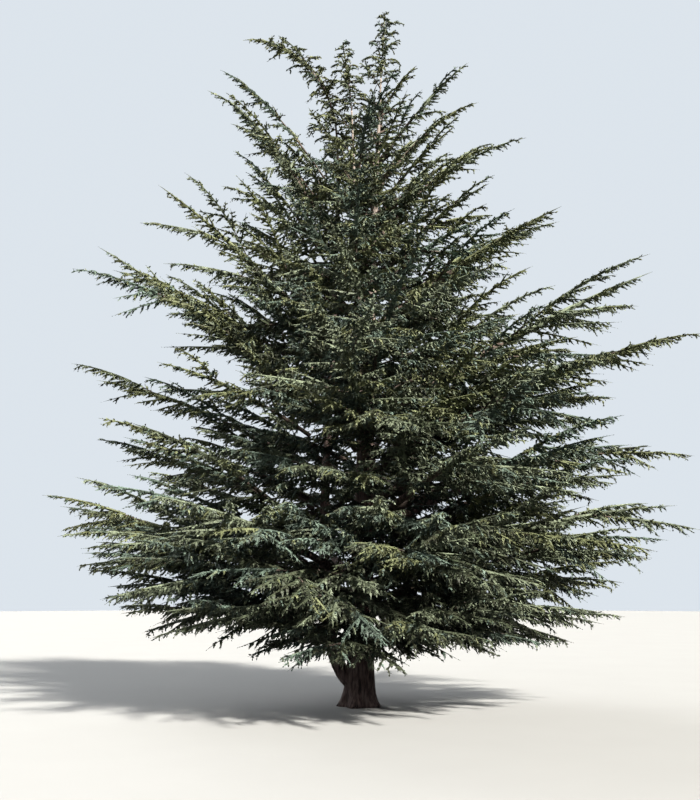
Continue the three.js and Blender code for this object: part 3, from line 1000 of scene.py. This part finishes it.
@dataclass(frozen=True)
class NeedleRule:
    """How needles stand on a shoot. Angles are in degrees."""

    spacing: float
    first: float
    fewest: int = 2
    length: float = 0.038
    width: float = 0.015
    lean: float = 40.0
    lean_falls: float = 20.0
    lean_scatter: float = 9.0
    turn_scatter: float = 0.35
    length_scatter: float = 0.22
    length_falls: float = 0.35
    widest: float = 0.42
    fold: float = 0.22

    def blades(self, shoots: Limbs, random: np.random.Generator) -> tuple[np.ndarray, np.ndarray]:
        """The needles of a batch of shoots, as folded kites in a spiral.

        Args:
            shoots: what they stand on.
            random: where their scatter comes from.

        Returns:
            The kites' corners, as needle by corner by coordinate, and the shoot of each needle.
        """
        span = shoots.curves.lengths(steps=4) * (1.0 - shoots.start) * (1.0 - self.first)
        counts = np.maximum(self.fewest, (span / self.spacing).round().astype(int))
        which, order = shared_out(counts)
        n = len(which)
        place = (order + random.random(n)) / counts[which]
        t = blend(blend(shoots.start, 1.0, self.first)[which], 1.0, place)
        root = shoots.curves.at(which, t)
        tangent = shoots.curves.tangent(which, t)
        across, lift = beside(tangent)
        turn = order * GOLDEN_ANGLE + random.normal(0.0, self.turn_scatter, n)
        outward = turned(across, lift, turn)
        lean = self.lean - self.lean_falls * place**2 + random.normal(0.0, self.lean_scatter, n)
        along = turned(tangent, outward, np.radians(lean))
        wide = unit(np.cross(along, tangent))
        scale = 1.0 + random.uniform(-self.length_scatter, self.length_scatter, n)
        scale *= 1.0 - self.length_falls * place**3
        length = (self.length * scale)[:, None]
        half = (0.5 * self.width * np.sqrt(scale))[:, None]
        middle = root + along * length * self.widest + np.cross(wide, along) * half * self.fold
        tip = root + along * length
        return np.stack([root, middle - wide * half, tip, middle + wide * half], axis=1), which


class MeshArrays:
    """Gathers many small closed twigs or flat needles, and makes one mesh of them."""

    KITE = np.array([[0, 1, 2], [0, 2, 3]])
    CORE = np.array([[0, 2, 1], [0, 3, 2], [0, 1, 3], [4, 1, 2], [4, 2, 3], [4, 3, 1]])
    CORE_SIDES, CORE_SLIMNESS = 3, 0.24

    def __init__(self) -> None:
        """Starts empty."""
        self.points: list[np.ndarray] = []
        self.faces: list[np.ndarray] = []
        self.count = 0

    def add(self, points: np.ndarray, faces: np.ndarray) -> None:
        """Adds triangles.

        Args:
            points: the corners, one a row.
            faces: the corners of each triangle, counted within these points.
        """
        self.points.append(points.reshape(-1, 3))
        self.faces.append(faces.reshape(-1, 3) + self.count)
        self.count += len(self.points[-1])

    def add_kites(self, corners: np.ndarray) -> None:
        """Adds needles, each of two triangles on its four corners."""
        first = 4 * np.arange(len(corners))[:, None, None]
        self.add(corners, first + self.KITE)

    def add_spindles(self, limbs: Limbs, rings: int, sides: int) -> None:
        """Adds limbs that run to a sharp tip.

        Args:
            limbs: the limbs.
            rings: how many rings each has before its tip.
            sides: how many sides it has.
        """
        n = len(limbs.curves)
        if not n:
            return
        share = np.arange(rings) / rings
        t = blend(limbs.start[:, None], 1.0, share)
        which = np.broadcast_to(np.arange(n)[:, None], t.shape)
        centre, tangent = limbs.curves.at(which, t), limbs.curves.tangent(which, t)
        across, lift = beside(tangent)
        radius = blend(limbs.tip[:, None], limbs.foot[:, None], 1.0 - share)
        turn = 2 * math.pi * np.arange(sides) / sides
        outward = turned(across[:, :, None], -lift[:, :, None], turn)
        body = centre[:, :, None] + outward * radius[:, :, None, None]
        tip = limbs.curves.at(np.arange(n), np.ones(n))
        points = np.concatenate([body.reshape(n, -1, 3), tip[:, None]], axis=1)
        first = points.shape[1] * np.arange(n)[:, None, None]
        self.add(points, first + self.spindle_faces(rings, sides))

    def add_cores(self, limbs: Limbs, radius: float, thickest: float) -> None:
        """Adds a slim three-sided core, sharp at both ends, along each limb.

        Args:
            limbs: the limbs.
            radius: the cores' greatest radius.
            thickest: where along the limb that is.
        """
        n = len(limbs.curves)
        if not n:
            return
        which = np.arange(n)
        foot, tip = limbs.curves.points[:, 0], limbs.curves.points[:, 3]
        middle = limbs.curves.at(which, np.full(n, thickest))
        tangent = limbs.curves.tangent(which, np.full(n, thickest))
        across, lift = beside(tangent)
        turn = 2 * math.pi * np.arange(self.CORE_SIDES) / self.CORE_SIDES + math.pi / 2
        thick = np.minimum(radius, self.CORE_SLIMNESS * limbs.curves.lengths(steps=2))[:, None]
        ring = [middle + thick * (across * math.cos(a) - lift * math.sin(a)) for a in turn]
        points = np.stack([foot, *ring, tip], axis=1)
        self.add(points, points.shape[1] * which[:, None, None] + self.CORE)

    @staticmethod
    def spindle_faces(rings: int, sides: int) -> np.ndarray:
        """The triangles of one spindle, its foot closed.

        Args:
            rings: how many rings it has before its tip.
            sides: how many sides it has.

        Returns:
            The corners of each triangle.
        """
        faces = [(0, k, k + 1) for k in range(1, sides - 1)]
        for ring in range(rings):
            for k in range(sides):
                a, b = ring * sides + k, ring * sides + (k + 1) % sides
                if ring == rings - 1:
                    faces.append((a, rings * sides, b))
                else:
                    faces += [(a, a + sides, b), (b, a + sides, b + sides)]
        return np.array(faces)

    def make(self, name: str, smooth: bool) -> bpy.types.Object:
        """Makes the object.

        Args:
            name: its name.
            smooth: whether its shading is smooth.

        Returns:
            The object, in the scene.
        """
        points, faces = np.concatenate(self.points), np.concatenate(self.faces)
        mesh = bpy.data.meshes.new(name)
        mesh.vertices.add(len(points))
        mesh.vertices.foreach_set("co", points.astype(np.float32).ravel())
        mesh.loops.add(faces.size)
        mesh.loops.foreach_set("vertex_index", faces.astype(np.int32).ravel())
        mesh.polygons.add(len(faces))
        mesh.polygons.foreach_set("loop_start", np.arange(0, faces.size, 3, dtype=np.int32))
        mesh.polygons.foreach_set("use_smooth", np.full(len(faces), smooth))
        mesh.update(calc_edges=True)
        return linked(name, mesh)


class Socket:
    """A value inside a material. Sums and products of it add Math nodes."""

    def __init__(self, shader: "Shader", socket: bpy.types.NodeSocket) -> None:
        """Wraps an output socket of a shader's node."""
        self.shader = shader
        self.socket = socket

    def maths(self, operation: str, first: "Socket | float", second: "Socket | float") -> "Socket":
        """A Math node's result."""
        return self.shader.node("ShaderNodeMath", {"operation": operation}, {0: first, 1: second})["Value"]

    def __add__(self, other: "Socket | float") -> "Socket":
        """The sum."""
        return self.maths("ADD", self, other)

    def __mul__(self, other: "Socket | float") -> "Socket":
        """The product."""
        return self.maths("MULTIPLY", self, other)

    def __rsub__(self, other: float) -> "Socket":
        """A number less this value."""
        return self.maths("SUBTRACT", other, self)

    __radd__ = __add__
    __rmul__ = __mul__


class Shader:
    """A material and its node tree."""

    def __init__(self, name: str) -> None:
        """Makes the material with its usual surface and output nodes.

        Args:
            name: the material's name.
        """
        self.material = bpy.data.materials.new(name)
        self.material.use_nodes = True
        self.tree = self.material.node_tree
        self.surface = self.tree.nodes["Principled BSDF"]

    def node(self, kind: str, settings: dict | None = None,
             values: dict | None = None) -> dict[str, Socket]:
        """Adds a node.

        Args:
            kind: the node's type.
            settings: its properties, which are set first. A ramp's stops are a list of place and colour.
            values: numbers, colours or links for its inputs, by name, identifier or place.

        Returns:
            Its outputs by name or identifier.
        """
        made = self.tree.nodes.new(kind)
        for name, value in (settings or {}).items():
            if name == "stops":
                self.set_stops(made.color_ramp, value)
            else:
                setattr(made, name, value)
        for name, value in (values or {}).items():
            self.feed(self.input_of(made, name), value)
        return {key: Socket(self, s) for s in made.outputs for key in (s.identifier, s.name) if s.enabled}

    @staticmethod
    def input_of(made: bpy.types.Node, name: str | int) -> bpy.types.NodeSocket:
        """Finds a node's input.

        Args:
            made: the node.
            name: the input's place, identifier or name.

        Returns:
            The input.
        """
        if isinstance(name, int):
            return made.inputs[name]
        return next(s for s in made.inputs if name in (s.identifier, s.name) and s.enabled)

    @staticmethod
    def set_stops(ramp: bpy.types.ColorRamp, stops: list[tuple[float, Colour]]) -> None:
        """Gives a ramp its stops.

        Args:
            ramp: the ramp.
            stops: the place and colour of each.
        """
        while len(ramp.elements) < len(stops):
            ramp.elements.new(1.0)
        for element, (place, colour) in zip(ramp.elements, stops):
            element.position = place
            element.color = (*colour, 1.0)

    def feed(self, target: bpy.types.NodeSocket, value: "Socket | float | tuple") -> None:
        """Links or sets an input.

        Args:
            target: the input.
            value: what it gets. A colour gets its fourth number here.
        """
        if isinstance(value, Socket):
            self.tree.links.new(value.socket, target)
        elif isinstance(value, tuple) and target.type == "RGBA":
            target.default_value = (*value, 1.0)
        else:
            target.default_value = value

    def set(self, **values: "Socket | float | tuple") -> None:
        """Feeds the surface's inputs, named with _ for spaces."""
        for name, value in values.items():
            self.feed(self.surface.inputs[name.replace("_", " ")], value)

    def place(self, scale: Point = (1.0, 1.0, 1.0)) -> Socket:
        """The place on the object, stretched by a scale along each axis."""
        coordinates = self.node("ShaderNodeTexCoord")["Object"]
        return self.node("ShaderNodeMapping", {}, {"Vector": coordinates, "Scale": scale})["Vector"]

    def noise(self, place: Socket, scale: float, detail: float = 3.0, roughness: float = 0.55) -> Socket:
        """Noise from 0 to 1, with a number of features in a metre and of finer layers."""
        values = {"Vector": place, "Scale": scale, "Detail": detail, "Roughness": roughness}
        return self.node("ShaderNodeTexNoise", {}, values)["Fac"]

    def ramp(self, value: Socket, stops: list[tuple[float, Colour]]) -> Socket:
        """A colour from a ramp of stops."""
        return self.node("ShaderNodeValToRGB", {"stops": stops}, {"Fac": value})["Color"]

    def mix(self, factor: Socket, first: "Socket | Colour", second: "Socket | Colour") -> Socket:
        """A mix of two colours, from all of the first at 0 to all of the second at 1."""
        values = {"Factor_Float": factor, "A_Color": first, "B_Color": second}
        return self.node("ShaderNodeMix", {"data_type": "RGBA"}, values)["Result_Color"]

    def between(self, value: Socket, low: float, high: float) -> Socket:
        """How far a value has come from low to high, kept from 0 to 1."""
        return self.node("ShaderNodeMapRange", {"clamp": True},
                         {"Value": value, "From Min": low, "From Max": high})["Result"]

    def bump(self, height: Socket, strength: float, distance: float) -> Socket:
        """A normal from a height of 0 to 1, where 1 stands out by the distance in metres."""
        values = {"Height": height, "Strength": strength, "Distance": distance}
        return self.node("ShaderNodeBump", {}, values)["Normal"]


@dataclass(frozen=True)
class BarkFinish:
    """Furrowed bark, reddish brown low down and paler and greyer on young wood high up."""

    name: str = "cedar_bark"
    furrow: Colour = (0.024, 0.016, 0.014)
    plate: Colour = (0.14, 0.092, 0.078)
    crest: Colour = (0.25, 0.185, 0.16)
    young: Colour = (0.31, 0.262, 0.225)
    young_from: float = 3.0
    young_at: float = 7.5
    stretch: Point = (1.0, 1.0, 0.16)
    furrows: float = 26.0
    grain: float = 90.0
    grain_share: float = 0.2
    stops: tuple[float, float, float] = (0.36, 0.5, 0.66)
    youth: tuple[float, float] = (0.45, 0.75)
    relief: float = 0.006
    relief_strength: float = 0.7
    roughness: float = 0.86
    smoother: float = 0.1
    gloss: float = 0.25

    def make(self) -> bpy.types.Material:
        """Makes the bark.

        Returns:
            Its material.
        """
        shader = Shader(self.name)
        stretched = shader.place(self.stretch)
        plates = shader.noise(stretched, self.furrows, 4.0, 0.6)
        grain = shader.noise(stretched, self.grain, 2.0)
        colour = shader.ramp(plates, list(zip(self.stops, (self.furrow, self.plate, self.crest))))
        height = shader.node("ShaderNodeSeparateXYZ", {}, {"Vector": shader.place()})["Z"]
        least, rest = self.youth
        youth = shader.between(height, self.young_from, self.young_at) * (least + plates * rest)
        colour = shader.mix(youth, colour, self.young)
        relief = plates * (1.0 - self.grain_share) + grain * self.grain_share
        shader.set(Base_Color=colour, Roughness=self.roughness - self.smoother * grain,
                   Specular_IOR_Level=self.gloss,
                   Normal=shader.bump(relief, self.relief_strength, self.relief))
        return shader.material


@dataclass(frozen=True)
class TwigFinish:
    """Thin young bark on arms, laterals and shoots."""

    name: str = "cedar_twig"
    shade: Colour = (0.045, 0.034, 0.028)
    light: Colour = (0.17, 0.13, 0.105)
    patches: float = 14.0
    stops: tuple[float, float] = (0.35, 0.68)
    relief: float = 0.002
    relief_strength: float = 0.5
    roughness: float = 0.8
    rougher: float = 0.15
    gloss: float = 0.25

    def make(self) -> bpy.types.Material:
        """Makes the twigs' bark.

        Returns:
            Its material.
        """
        shader = Shader(self.name)
        patches = shader.noise(shader.place(), self.patches, 4.0)
        colour = shader.ramp(patches, list(zip(self.stops, (self.shade, self.light))))
        shader.set(Base_Color=colour, Roughness=self.roughness + self.rougher * patches,
                   Specular_IOR_Level=self.gloss,
                   Normal=shader.bump(patches, self.relief_strength, self.relief))
        return shader.material


@dataclass(frozen=True)
class NeedleFinish:
    """Needles of one tint, with a waxy bloom in fine patches."""

    name: str
    base: Colour
    bloom: Colour
    patches: float = 5.0
    flecks: float = 42.0
    fleck_share: float = 0.55
    bloom_between: tuple[float, float] = (0.4, 0.62)
    roughness: float = 0.5
    rougher: float = 0.2
    gloss: float = 0.3

    def make(self) -> bpy.types.Material:
        """Makes the needles' surface.

        Returns:
            Its material.
        """
        shader = Shader(self.name)
        place = shader.place()
        patches = shader.noise(place, self.patches, 2.0)
        flecks = shader.noise(place, self.flecks, 2.0)
        mottle = patches * (1.0 - self.fleck_share) + flecks * self.fleck_share
        bloom = shader.between(mottle, *self.bloom_between)
        shader.set(Base_Color=shader.mix(bloom, self.base, self.bloom),
                   Roughness=self.roughness + self.rougher * flecks, Specular_IOR_Level=self.gloss)
        return shader.material


@dataclass(frozen=True)
class FloorFinish:
    """A plain pale studio floor."""

    name: str = "studio_floor"
    light: Colour = (0.3, 0.3, 0.291)
    shade: Colour = (0.278, 0.278, 0.269)
    patches: float = 0.8
    roughness: float = 0.9

    def make(self) -> bpy.types.Material:
        """Makes the floor's surface.

        Returns:
            Its material.
        """
        shader = Shader(self.name)
        mottle = shader.noise(shader.place(), self.patches)
        shader.set(Base_Color=shader.mix(mottle, self.light, self.shade), Roughness=self.roughness)
        return shader.material


@dataclass
class Wood:
    """The trunk, leaders and boughs, with bark that stands out in furrows."""

    crown: Crown
    finish: BarkFinish = BarkFinish()
    bough_sides: int = 20
    bough_step: float = 0.05
    bough_relief: float = 0.0022
    inside_mass: float = 0.02
    furrow_width: float = 0.034
    furrow_stretch: float = 6.0
    furrow_sharpness: float = 2.2
    furrow_share: float = 0.75
    grain_scale: float = 2.7
    grain_share: float = 0.35
    least_depth: float = 0.15
    least_thickness: float = 0.3

    def warped(self, name: str, rings: int, sides: int,
               place: Callable[[np.ndarray, np.ndarray], np.ndarray]) -> bpy.types.Object:
        """A closed cylinder of many rings, bent to its place.

        Args:
            name: the object's name.
            rings: how many steps it has from foot to tip.
            sides: how many sides it has.
            place: gives the points for shares of its height and angles about it.

        Returns:
            The object, in the scene.
        """
        bm = bmesh.new()
        bmesh.ops.create_cone(bm, cap_ends=True, segments=sides, radius1=1.0, radius2=1.0, depth=1.0)
        upright = [e for e in bm.edges if abs(e.verts[0].co.z - e.verts[1].co.z) > 0.5]
        bmesh.ops.subdivide_edges(bm, edges=upright, cuts=rings - 1, use_grid_fill=False)
        plain = np.array([v.co for v in bm.verts])
        moved = place(np.clip(plain[:, 2] + 0.5, 0.0, 1.0), np.arctan2(plain[:, 1], plain[:, 0]))
        for vert, point in zip(bm.verts, moved):
            vert.co = Vector(point)
        bmesh.ops.recalc_face_normals(bm, faces=bm.faces)
        for face in bm.faces:
            face.smooth = len(face.verts) == 4
        return modelled(name, bm)

    def relief(self, points: np.ndarray, along: np.ndarray, depth: np.ndarray) -> np.ndarray:
        """How far the bark stands out at points of a limb's surface.

        Args:
            points: the points, measured across the limb from its axis.
            along: how far along the limb each is.
            depth: how deep the furrows are there.

        Returns:
            The heights of the bark.
        """
        where = np.column_stack([points[:, 0], points[:, 1], along / self.furrow_stretch])
        where = where / self.furrow_width
        coarse = np.array([1.0 - self.furrow_sharpness * abs(noise.noise(Vector(p))) for p in where])
        fine = np.array([noise.noise(Vector(p) * self.grain_scale) for p in where])
        return depth * (self.furrow_share * coarse + self.grain_share * fine - self.grain_share)

    def limb(self, name: str, curve: Curves, end: float, step: float, sides: int,
             radius: Callable[[np.ndarray, np.ndarray], np.ndarray], depth: float,
             level_rings: bool) -> bpy.types.Object:
        """A limb with bark relief.

        Args:
            name: the object's name.
            curve: its axis.
            end: the parameter where it ends.
            step: how far apart its rings are.
            sides: how many sides it has.
            radius: its radius at parameters and angles.
            depth: how deep its furrows are at its foot.
            level_rings: whether its rings lie flat.

        Returns:
            The object, in the scene.
        """
        length = float(curve.lengths(steps=16)[0]) * end
        foot = float(np.mean(radius(np.array([0.0]), np.array([0.0]))))

        def place(share: np.ndarray, angle: np.ndarray) -> np.ndarray:
            """The points of the limb's surface.

            Args:
                share: shares of the limb's length.
                angle: the angle about the limb at each.

            Returns:
                The points, one a row.
            """
            t = share * end
            which = np.zeros(len(t), int)
            centre = curve.at(which, t)
            tangent = np.broadcast_to(UP, centre.shape) if level_rings else curve.tangent(which, t)
            reference = BACK if level_rings or abs(tangent[0, 2]) > 0.5 else UP
            across = unit(np.cross(tangent, reference))
            lift = np.cross(across, tangent)
            thick = radius(t, angle)
            flat = np.column_stack([thick * np.cos(angle), thick * np.sin(angle)])
            fade = np.clip(thick / foot, self.least_depth, 1.0)
            bark = self.relief(flat, share * length, depth * fade)
            size = np.maximum(thick + bark, self.least_thickness * thick)[:, None]
            return centre + size * turned(across, lift, angle)

        return self.warped(name, max(3, round(length / step)), sides, place)

    def build(self) -> list[bpy.types.Object]:
        """Makes the stems and boughs and dresses them.

        Returns:
            The pieces.
        """
        bark = self.finish.make()
        made = []
        for stem in self.crown.stems.values():
            limb = self.limb(f"bark_{stem.name}", stem.curve, 1.0, stem.ring_step, stem.sides, stem.radius,
                             stem.relief, stem.flared)
            made.append(dressed(limb, bark, [stem.name]))
        for bough in self.crown.boughs:
            if bough.has_bough:
                limb = self.limb(f"bark_{bough.name}", bough.curve, bough.start + self.inside_mass,
                                 self.bough_step, self.bough_sides,
                                 lambda t, angle, b=bough: b.radius(t), self.bough_relief, False)
                made.append(dressed(limb, bark, [f"bough_{bough.name}"]))
        return made


def dressed(piece: bpy.types.Object, material: bpy.types.Material,
            nodes: list[str]) -> bpy.types.Object:
    """Gives a piece its material and its place in the frame.

    Args:
        piece: the piece.
        material: its material.
        nodes: the solids that it stands for.

    Returns:
        The piece.
    """
    piece.data.materials.clear()
    piece.data.materials.append(material)
    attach(piece, "root")
    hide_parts(*nodes)
    return piece


@dataclass
class Foliage:
    """Everything that grows on from the boughs: arms, laterals, shoots and needles."""

    crown: Crown
    seed: int = 818
    arm_rule: ArmRule = ArmRule()
    laterals_on_boughs: ShootRule = ShootRule(
        spacing=0.13, first=0.03, last=0.94, yaw=58, yaw_falls=20, hang=6, hang_scatter=14, share=0.42,
        least=0.12, most=0.9, sag=0.15, forward=0.16, foot=0.009, fewer=0.75, length_scatter=0.35)
    laterals_on_arms: ShootRule = ShootRule(
        spacing=0.12, first=0.06, last=0.92, yaw=54, yaw_falls=18, hang=8, hang_scatter=14, share=0.4,
        least=0.12, most=0.65, sag=0.18, forward=0.16, foot=0.007, fewer=0.6, length_scatter=0.35)
    shoots_on_limbs: ShootRule = ShootRule(
        spacing=0.042, first=0.06, last=0.93, yaw=54, yaw_falls=14, hang=30, hang_scatter=40, share=0.14,
        least=0.035, most=0.12, sag=0.2, forward=0.1, foot=0.004, slender=1.0)
    shoots_on_laterals: ShootRule = ShootRule(
        spacing=0.056, first=0.05, last=0.86, yaw=50, yaw_falls=10, hang=26, hang_scatter=24, share=0.28,
        least=0.045, most=0.1, sag=0.2, forward=0.08, foot=0.0032, slender=1.0)
    needles_on_limbs: NeedleRule = NeedleRule(
        spacing=0.02, first=0.75, length=0.024, width=0.011)
    needles_on_laterals: NeedleRule = NeedleRule(
        spacing=0.036, first=0.1, length=0.028, width=0.013)
    needles_on_shoots: NeedleRule = NeedleRule(
        spacing=0.021, first=0.05, length=0.044, width=0.0235, lean=50, lean_falls=28)
    rings_and_sides: tuple[tuple[int, int], ...] = ((10, 6), (6, 4), (3, 3))
    tint_at: float = 0.7
    clothed_from: tuple[float, ...] = (0.5, 0.3, 0.0)
    coat: float = 0.014
    coat_tip: float = 0.004
    core_radius: float = 0.022
    core_thickest: float = 0.42
    lowest: float = 0.56
    bough_end: float = 0.965
    layers: tuple[float, ...] = (1.25, 2.05, 3.2, 5.0)

    FINISHES = {
        # The darkest tint is painted shade for sprays inside the crown and low down.
        Tint.PAINTED_SHADE: NeedleFinish("needles_painted_shade", (0.026, 0.026, 0.015), (0.078, 0.098, 0.056)),
        Tint.BLUE: NeedleFinish("needles_blue", (0.034, 0.044, 0.033), (0.145, 0.198, 0.155)),
        Tint.GREY: NeedleFinish("needles_grey", (0.048, 0.056, 0.033), (0.214, 0.25, 0.166)),
        # The olive tint is painted sunlight for sprays far out and high up.
        Tint.PAINTED_LIGHT_OLIVE: NeedleFinish("needles_painted_light_olive", (0.053, 0.055, 0.024), (0.194, 0.216, 0.108)),
    }

    def limbs(self) -> tuple[Limbs, Limbs]:
        """The boughs' own ends and their arms.

        Returns:
            The boughs and the arms.
        """
        space = Space(self.crown)
        boughs, arms = [], []
        for index, bough in enumerate(self.crown.boughs):
            foot = float(bough.radius(np.array(bough.start)))
            points = bough.curve.cut(self.bough_end).points[0]
            boughs.append((points, foot, Bough.TIP / 2, index, bough.start / self.bough_end))
            for points, radius in self.arm_rule.plan(index, bough, space):
                arms.append((points, radius, self.arm_rule.tip / 2, index, 0.0))
        return self.batch(boughs), self.batch(arms)

    @staticmethod
    def batch(rows: list[tuple]) -> Limbs:
        """Gathers limbs.

        Args:
            rows: the points, foot, tip, mass and start of each limb.

        Returns:
            The batch, without tints.
        """
        points, foot, tip, mass, start = zip(*rows)
        return Limbs(Curves(np.array(points)), np.array(foot), np.array(tip), np.array(mass),
                     np.zeros(len(rows), int), np.array(start, float))

    def grow(self) -> tuple[list[tuple[Limbs, int, int]], Limbs, list[tuple]]:
        """Grows every order of limb and its needles.

        Returns:
            The batches of limbs with their rings and sides, the shoots, and the needles' corners with mass
            and tint.
        """
        random = np.random.default_rng(self.seed)
        boughs, arms = self.limbs()
        for batch in (boughs, arms):
            n = len(batch.curves)
            batch.tint = Tints.deal(batch.curves.at(np.arange(n), np.full(n, self.tint_at)), random)
        laterals = Limbs.joined([self.laterals_on_boughs.grow(boughs, random),
                                 self.laterals_on_arms.grow(arms, random)])
        laterals = self.above_ground(laterals)
        shoots = self.above_ground(Limbs.joined([
            self.shoots_on_limbs.grow(boughs, random), self.shoots_on_limbs.grow(arms, random),
            self.shoots_on_laterals.grow(laterals, random)]))
        needles = []
        for rule, limbs in ((self.needles_on_limbs, boughs), (self.needles_on_limbs, arms),
                            (self.needles_on_laterals, laterals), (self.needles_on_shoots, shoots)):
            corners, which = rule.blades(limbs, random)
            needles.append((corners, limbs.mass[which], limbs.tint[which]))
        counts = [len(limbs.curves) for limbs in (boughs, arms, laterals, shoots)]
        LOG.info("%d boughs, %d arms, %d laterals, %d shoots, %d needles", *counts,
                 sum(len(mass) for _, mass, _ in needles))
        orders = zip((boughs, arms, laterals), self.rings_and_sides)
        return [(limbs, rings, sides) for limbs, (rings, sides) in orders], shoots, needles

    def clothed(self, limbs: Limbs, start: float) -> Limbs:
        """The part of each limb that needles hide all round, a little thicker than its wood.

        Args:
            limbs: the limbs.
            start: where along them it begins.

        Returns:
            The coats.
        """
        begin = np.maximum(limbs.start, start)
        foot = limbs.tip + (limbs.foot - limbs.tip) * (1.0 - begin) / (1.0 - limbs.start) + self.coat
        return Limbs(limbs.curves, foot, np.full(len(foot), self.coat_tip), limbs.mass, limbs.tint, begin)

    def above_ground(self, limbs: Limbs) -> Limbs:
        """The limbs whose tips stay clear of the ground."""
        return limbs.chosen(limbs.curves.points[:, 3, 2] > self.lowest)

    def build(self) -> list[bpy.types.Object]:
        """Makes the twigs and needles and dresses them, in layers from the ground up.

        Returns:
            The pieces.
        """
        batches, shoots, needles = self.grow()
        bark = TwigFinish().make()
        finishes = {tint: finish.make() for tint, finish in self.FINISHES.items()}
        made = []
        layers = np.digitize([b.curve.points[0, 0, 2] for b in self.crown.boughs], self.layers)
        for number in range(len(self.layers) + 1):
            part = f"layer_{number + 1}"
            masses = np.flatnonzero(layers == number)
            boughs = [self.crown.boughs[i] for i in masses]
            nodes = [f"foliage_{b.name}" for b in boughs if not b.infill]
            twigs = MeshArrays()
            for limbs, rings, sides in batches[:2]:
                twigs.add_spindles(limbs.of(masses), rings, sides)
            made.append(dressed(twigs.make(f"twigs_{part}", True), bark, nodes))
            for tint, material in finishes.items():
                sprays = MeshArrays()
                for (limbs, rings, sides), start in zip(batches, self.clothed_from):
                    sprays.add_spindles(self.clothed(limbs.of(masses, tint), start), rings, sides)
                sprays.add_cores(shoots.of(masses, tint), self.core_radius, self.core_thickest)
                for corners, mass, tints in needles:
                    sprays.add_kites(corners[np.isin(mass, masses) & (tints == tint.value)])
                name = f"needles_{tint.name.lower()}_{part}"
                made.append(dressed(sprays.make(name, False), material, nodes))
        return made


@dataclass(frozen=True)
class Sun:
    """A light that shines the same way everywhere. Angles are in degrees.

    The turn is from straight down, and then about +Z from the front towards the right. The softness is how
    wide the light looks.
    """

    name: str
    turn: tuple[float, float]
    strength: float
    colour: Colour
    softness: float

    def make(self) -> None:
        """Puts the light in the scene."""
        light = bpy.data.lights.new(self.name, "SUN")
        light.energy = self.strength
        light.color = self.colour
        light.angle = math.radians(self.softness)
        down, about = self.turn
        linked(self.name, light).rotation_euler = (math.radians(down), 0.0, math.radians(about))


@dataclass
class Studio:
    """A pale floor, soft light and the camera."""

    floor_radius: float = 60.0
    floor_sides: int = 96
    dome_share: float = 1.5
    dome_segments: tuple[int, int] = (64, 32)
    camera_place: Point = (-0.1337, -13.891, 1.55)
    camera_pitch: float = 10.647
    focal_pixels: float = 1000.0
    long_side_pixels: float = 800.0
    sensor: float = 36.0
    farthest: float = 500.0
    sky: Colour = (0.86, 0.92, 1.0)
    sky_strength: float = 0.07
    backdrop: Colour = (0.72, 0.78, 0.84)
    suns: tuple[Sun, ...] = (
        Sun("key_light", (50.0, 40.0), 11.8, (1.0, 0.96, 0.9), 4.0),
        Sun("fill_light", (62.0, -50.0), 0.3, (0.9, 0.95, 1.0), 40.0),
        Sun("back_light", (58.0, 212.0), 2.4, (0.95, 0.97, 1.0), 40.0),
        Sun("top_light", (0.0, 0.0), 0.95, (0.9, 0.95, 1.0), 150.0))

    def floor(self) -> None:
        """Makes the floor, which throws no light back up into the crown."""
        bm = bmesh.new()
        bmesh.ops.create_circle(bm, cap_ends=True, segments=self.floor_sides, radius=self.floor_radius)
        made = modelled("studio_floor", bm)
        made.data.materials.append(FloorFinish().make())
        made.visible_diffuse = False
        made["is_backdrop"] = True

    def dome(self) -> None:
        """Makes a pale backdrop all round, which neither lights nor shades anything."""
        bm = bmesh.new()
        across, up = self.dome_segments
        bmesh.ops.create_uvsphere(bm, u_segments=across, v_segments=up,
                                  radius=self.floor_radius * self.dome_share)
        bmesh.ops.reverse_faces(bm, faces=bm.faces)
        made = modelled("studio_backdrop", bm)
        shader = Shader("studio_backdrop")
        shader.set(Base_Color=(0.0, 0.0, 0.0), Specular_IOR_Level=0.0, Emission_Color=self.backdrop,
                   Emission_Strength=1.0)
        made.data.materials.append(shader.material)
        made.visible_diffuse = False
        made.visible_glossy = False
        made.visible_shadow = False
        made.visible_transmission = False
        made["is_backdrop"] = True

    def world(self) -> None:
        """Gives the scene a pale sky."""
        world = bpy.data.worlds.new("studio_sky")
        world.use_nodes = True
        background = world.node_tree.nodes["Background"]
        background.inputs["Color"].default_value = (*self.sky, 1.0)
        background.inputs["Strength"].default_value = self.sky_strength
        bpy.context.scene.world = world

    def camera(self) -> None:
        """Makes the camera where the photograph was taken from."""
        data = bpy.data.cameras.new("camera")
        data.sensor_width = self.sensor
        data.lens = self.focal_pixels * self.sensor / self.long_side_pixels
        data.clip_end = self.farthest
        made = linked("camera", data)
        made.location = self.camera_place
        made.rotation_euler = (math.radians(90.0 + self.camera_pitch), 0.0, 0.0)
        bpy.context.scene.camera = made

    def build(self) -> None:
        """Makes the floor, sky, lights and camera."""
        self.floor()
        self.dome()
        self.world()
        for sun in self.suns:
            sun.make()
        self.camera()
        bpy.context.scene.view_settings.view_transform = "Standard"


def corners(box: tuple[Vector, Vector]) -> list[list[float]]:
    """A box's two corners as plain lists."""
    return [[round(x, 5) for x in corner] for corner in box]


def main() -> None:
    """Builds the studio, the wood and the foliage in turn."""
    logging.basicConfig(level=logging.INFO, format="%(name)s: %(message)s")
    packed = corners(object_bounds())
    Studio().build()
    crown = Crown()
    for assembly in (Wood(crown), Foliage(crown)):
        for piece in assembly.build():
            LOG.info("%s: %d faces", piece.name, len(piece.data.polygons))
    {"cad": packed, "visual": corners(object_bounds())}


if __name__ == "__main__":
    main()
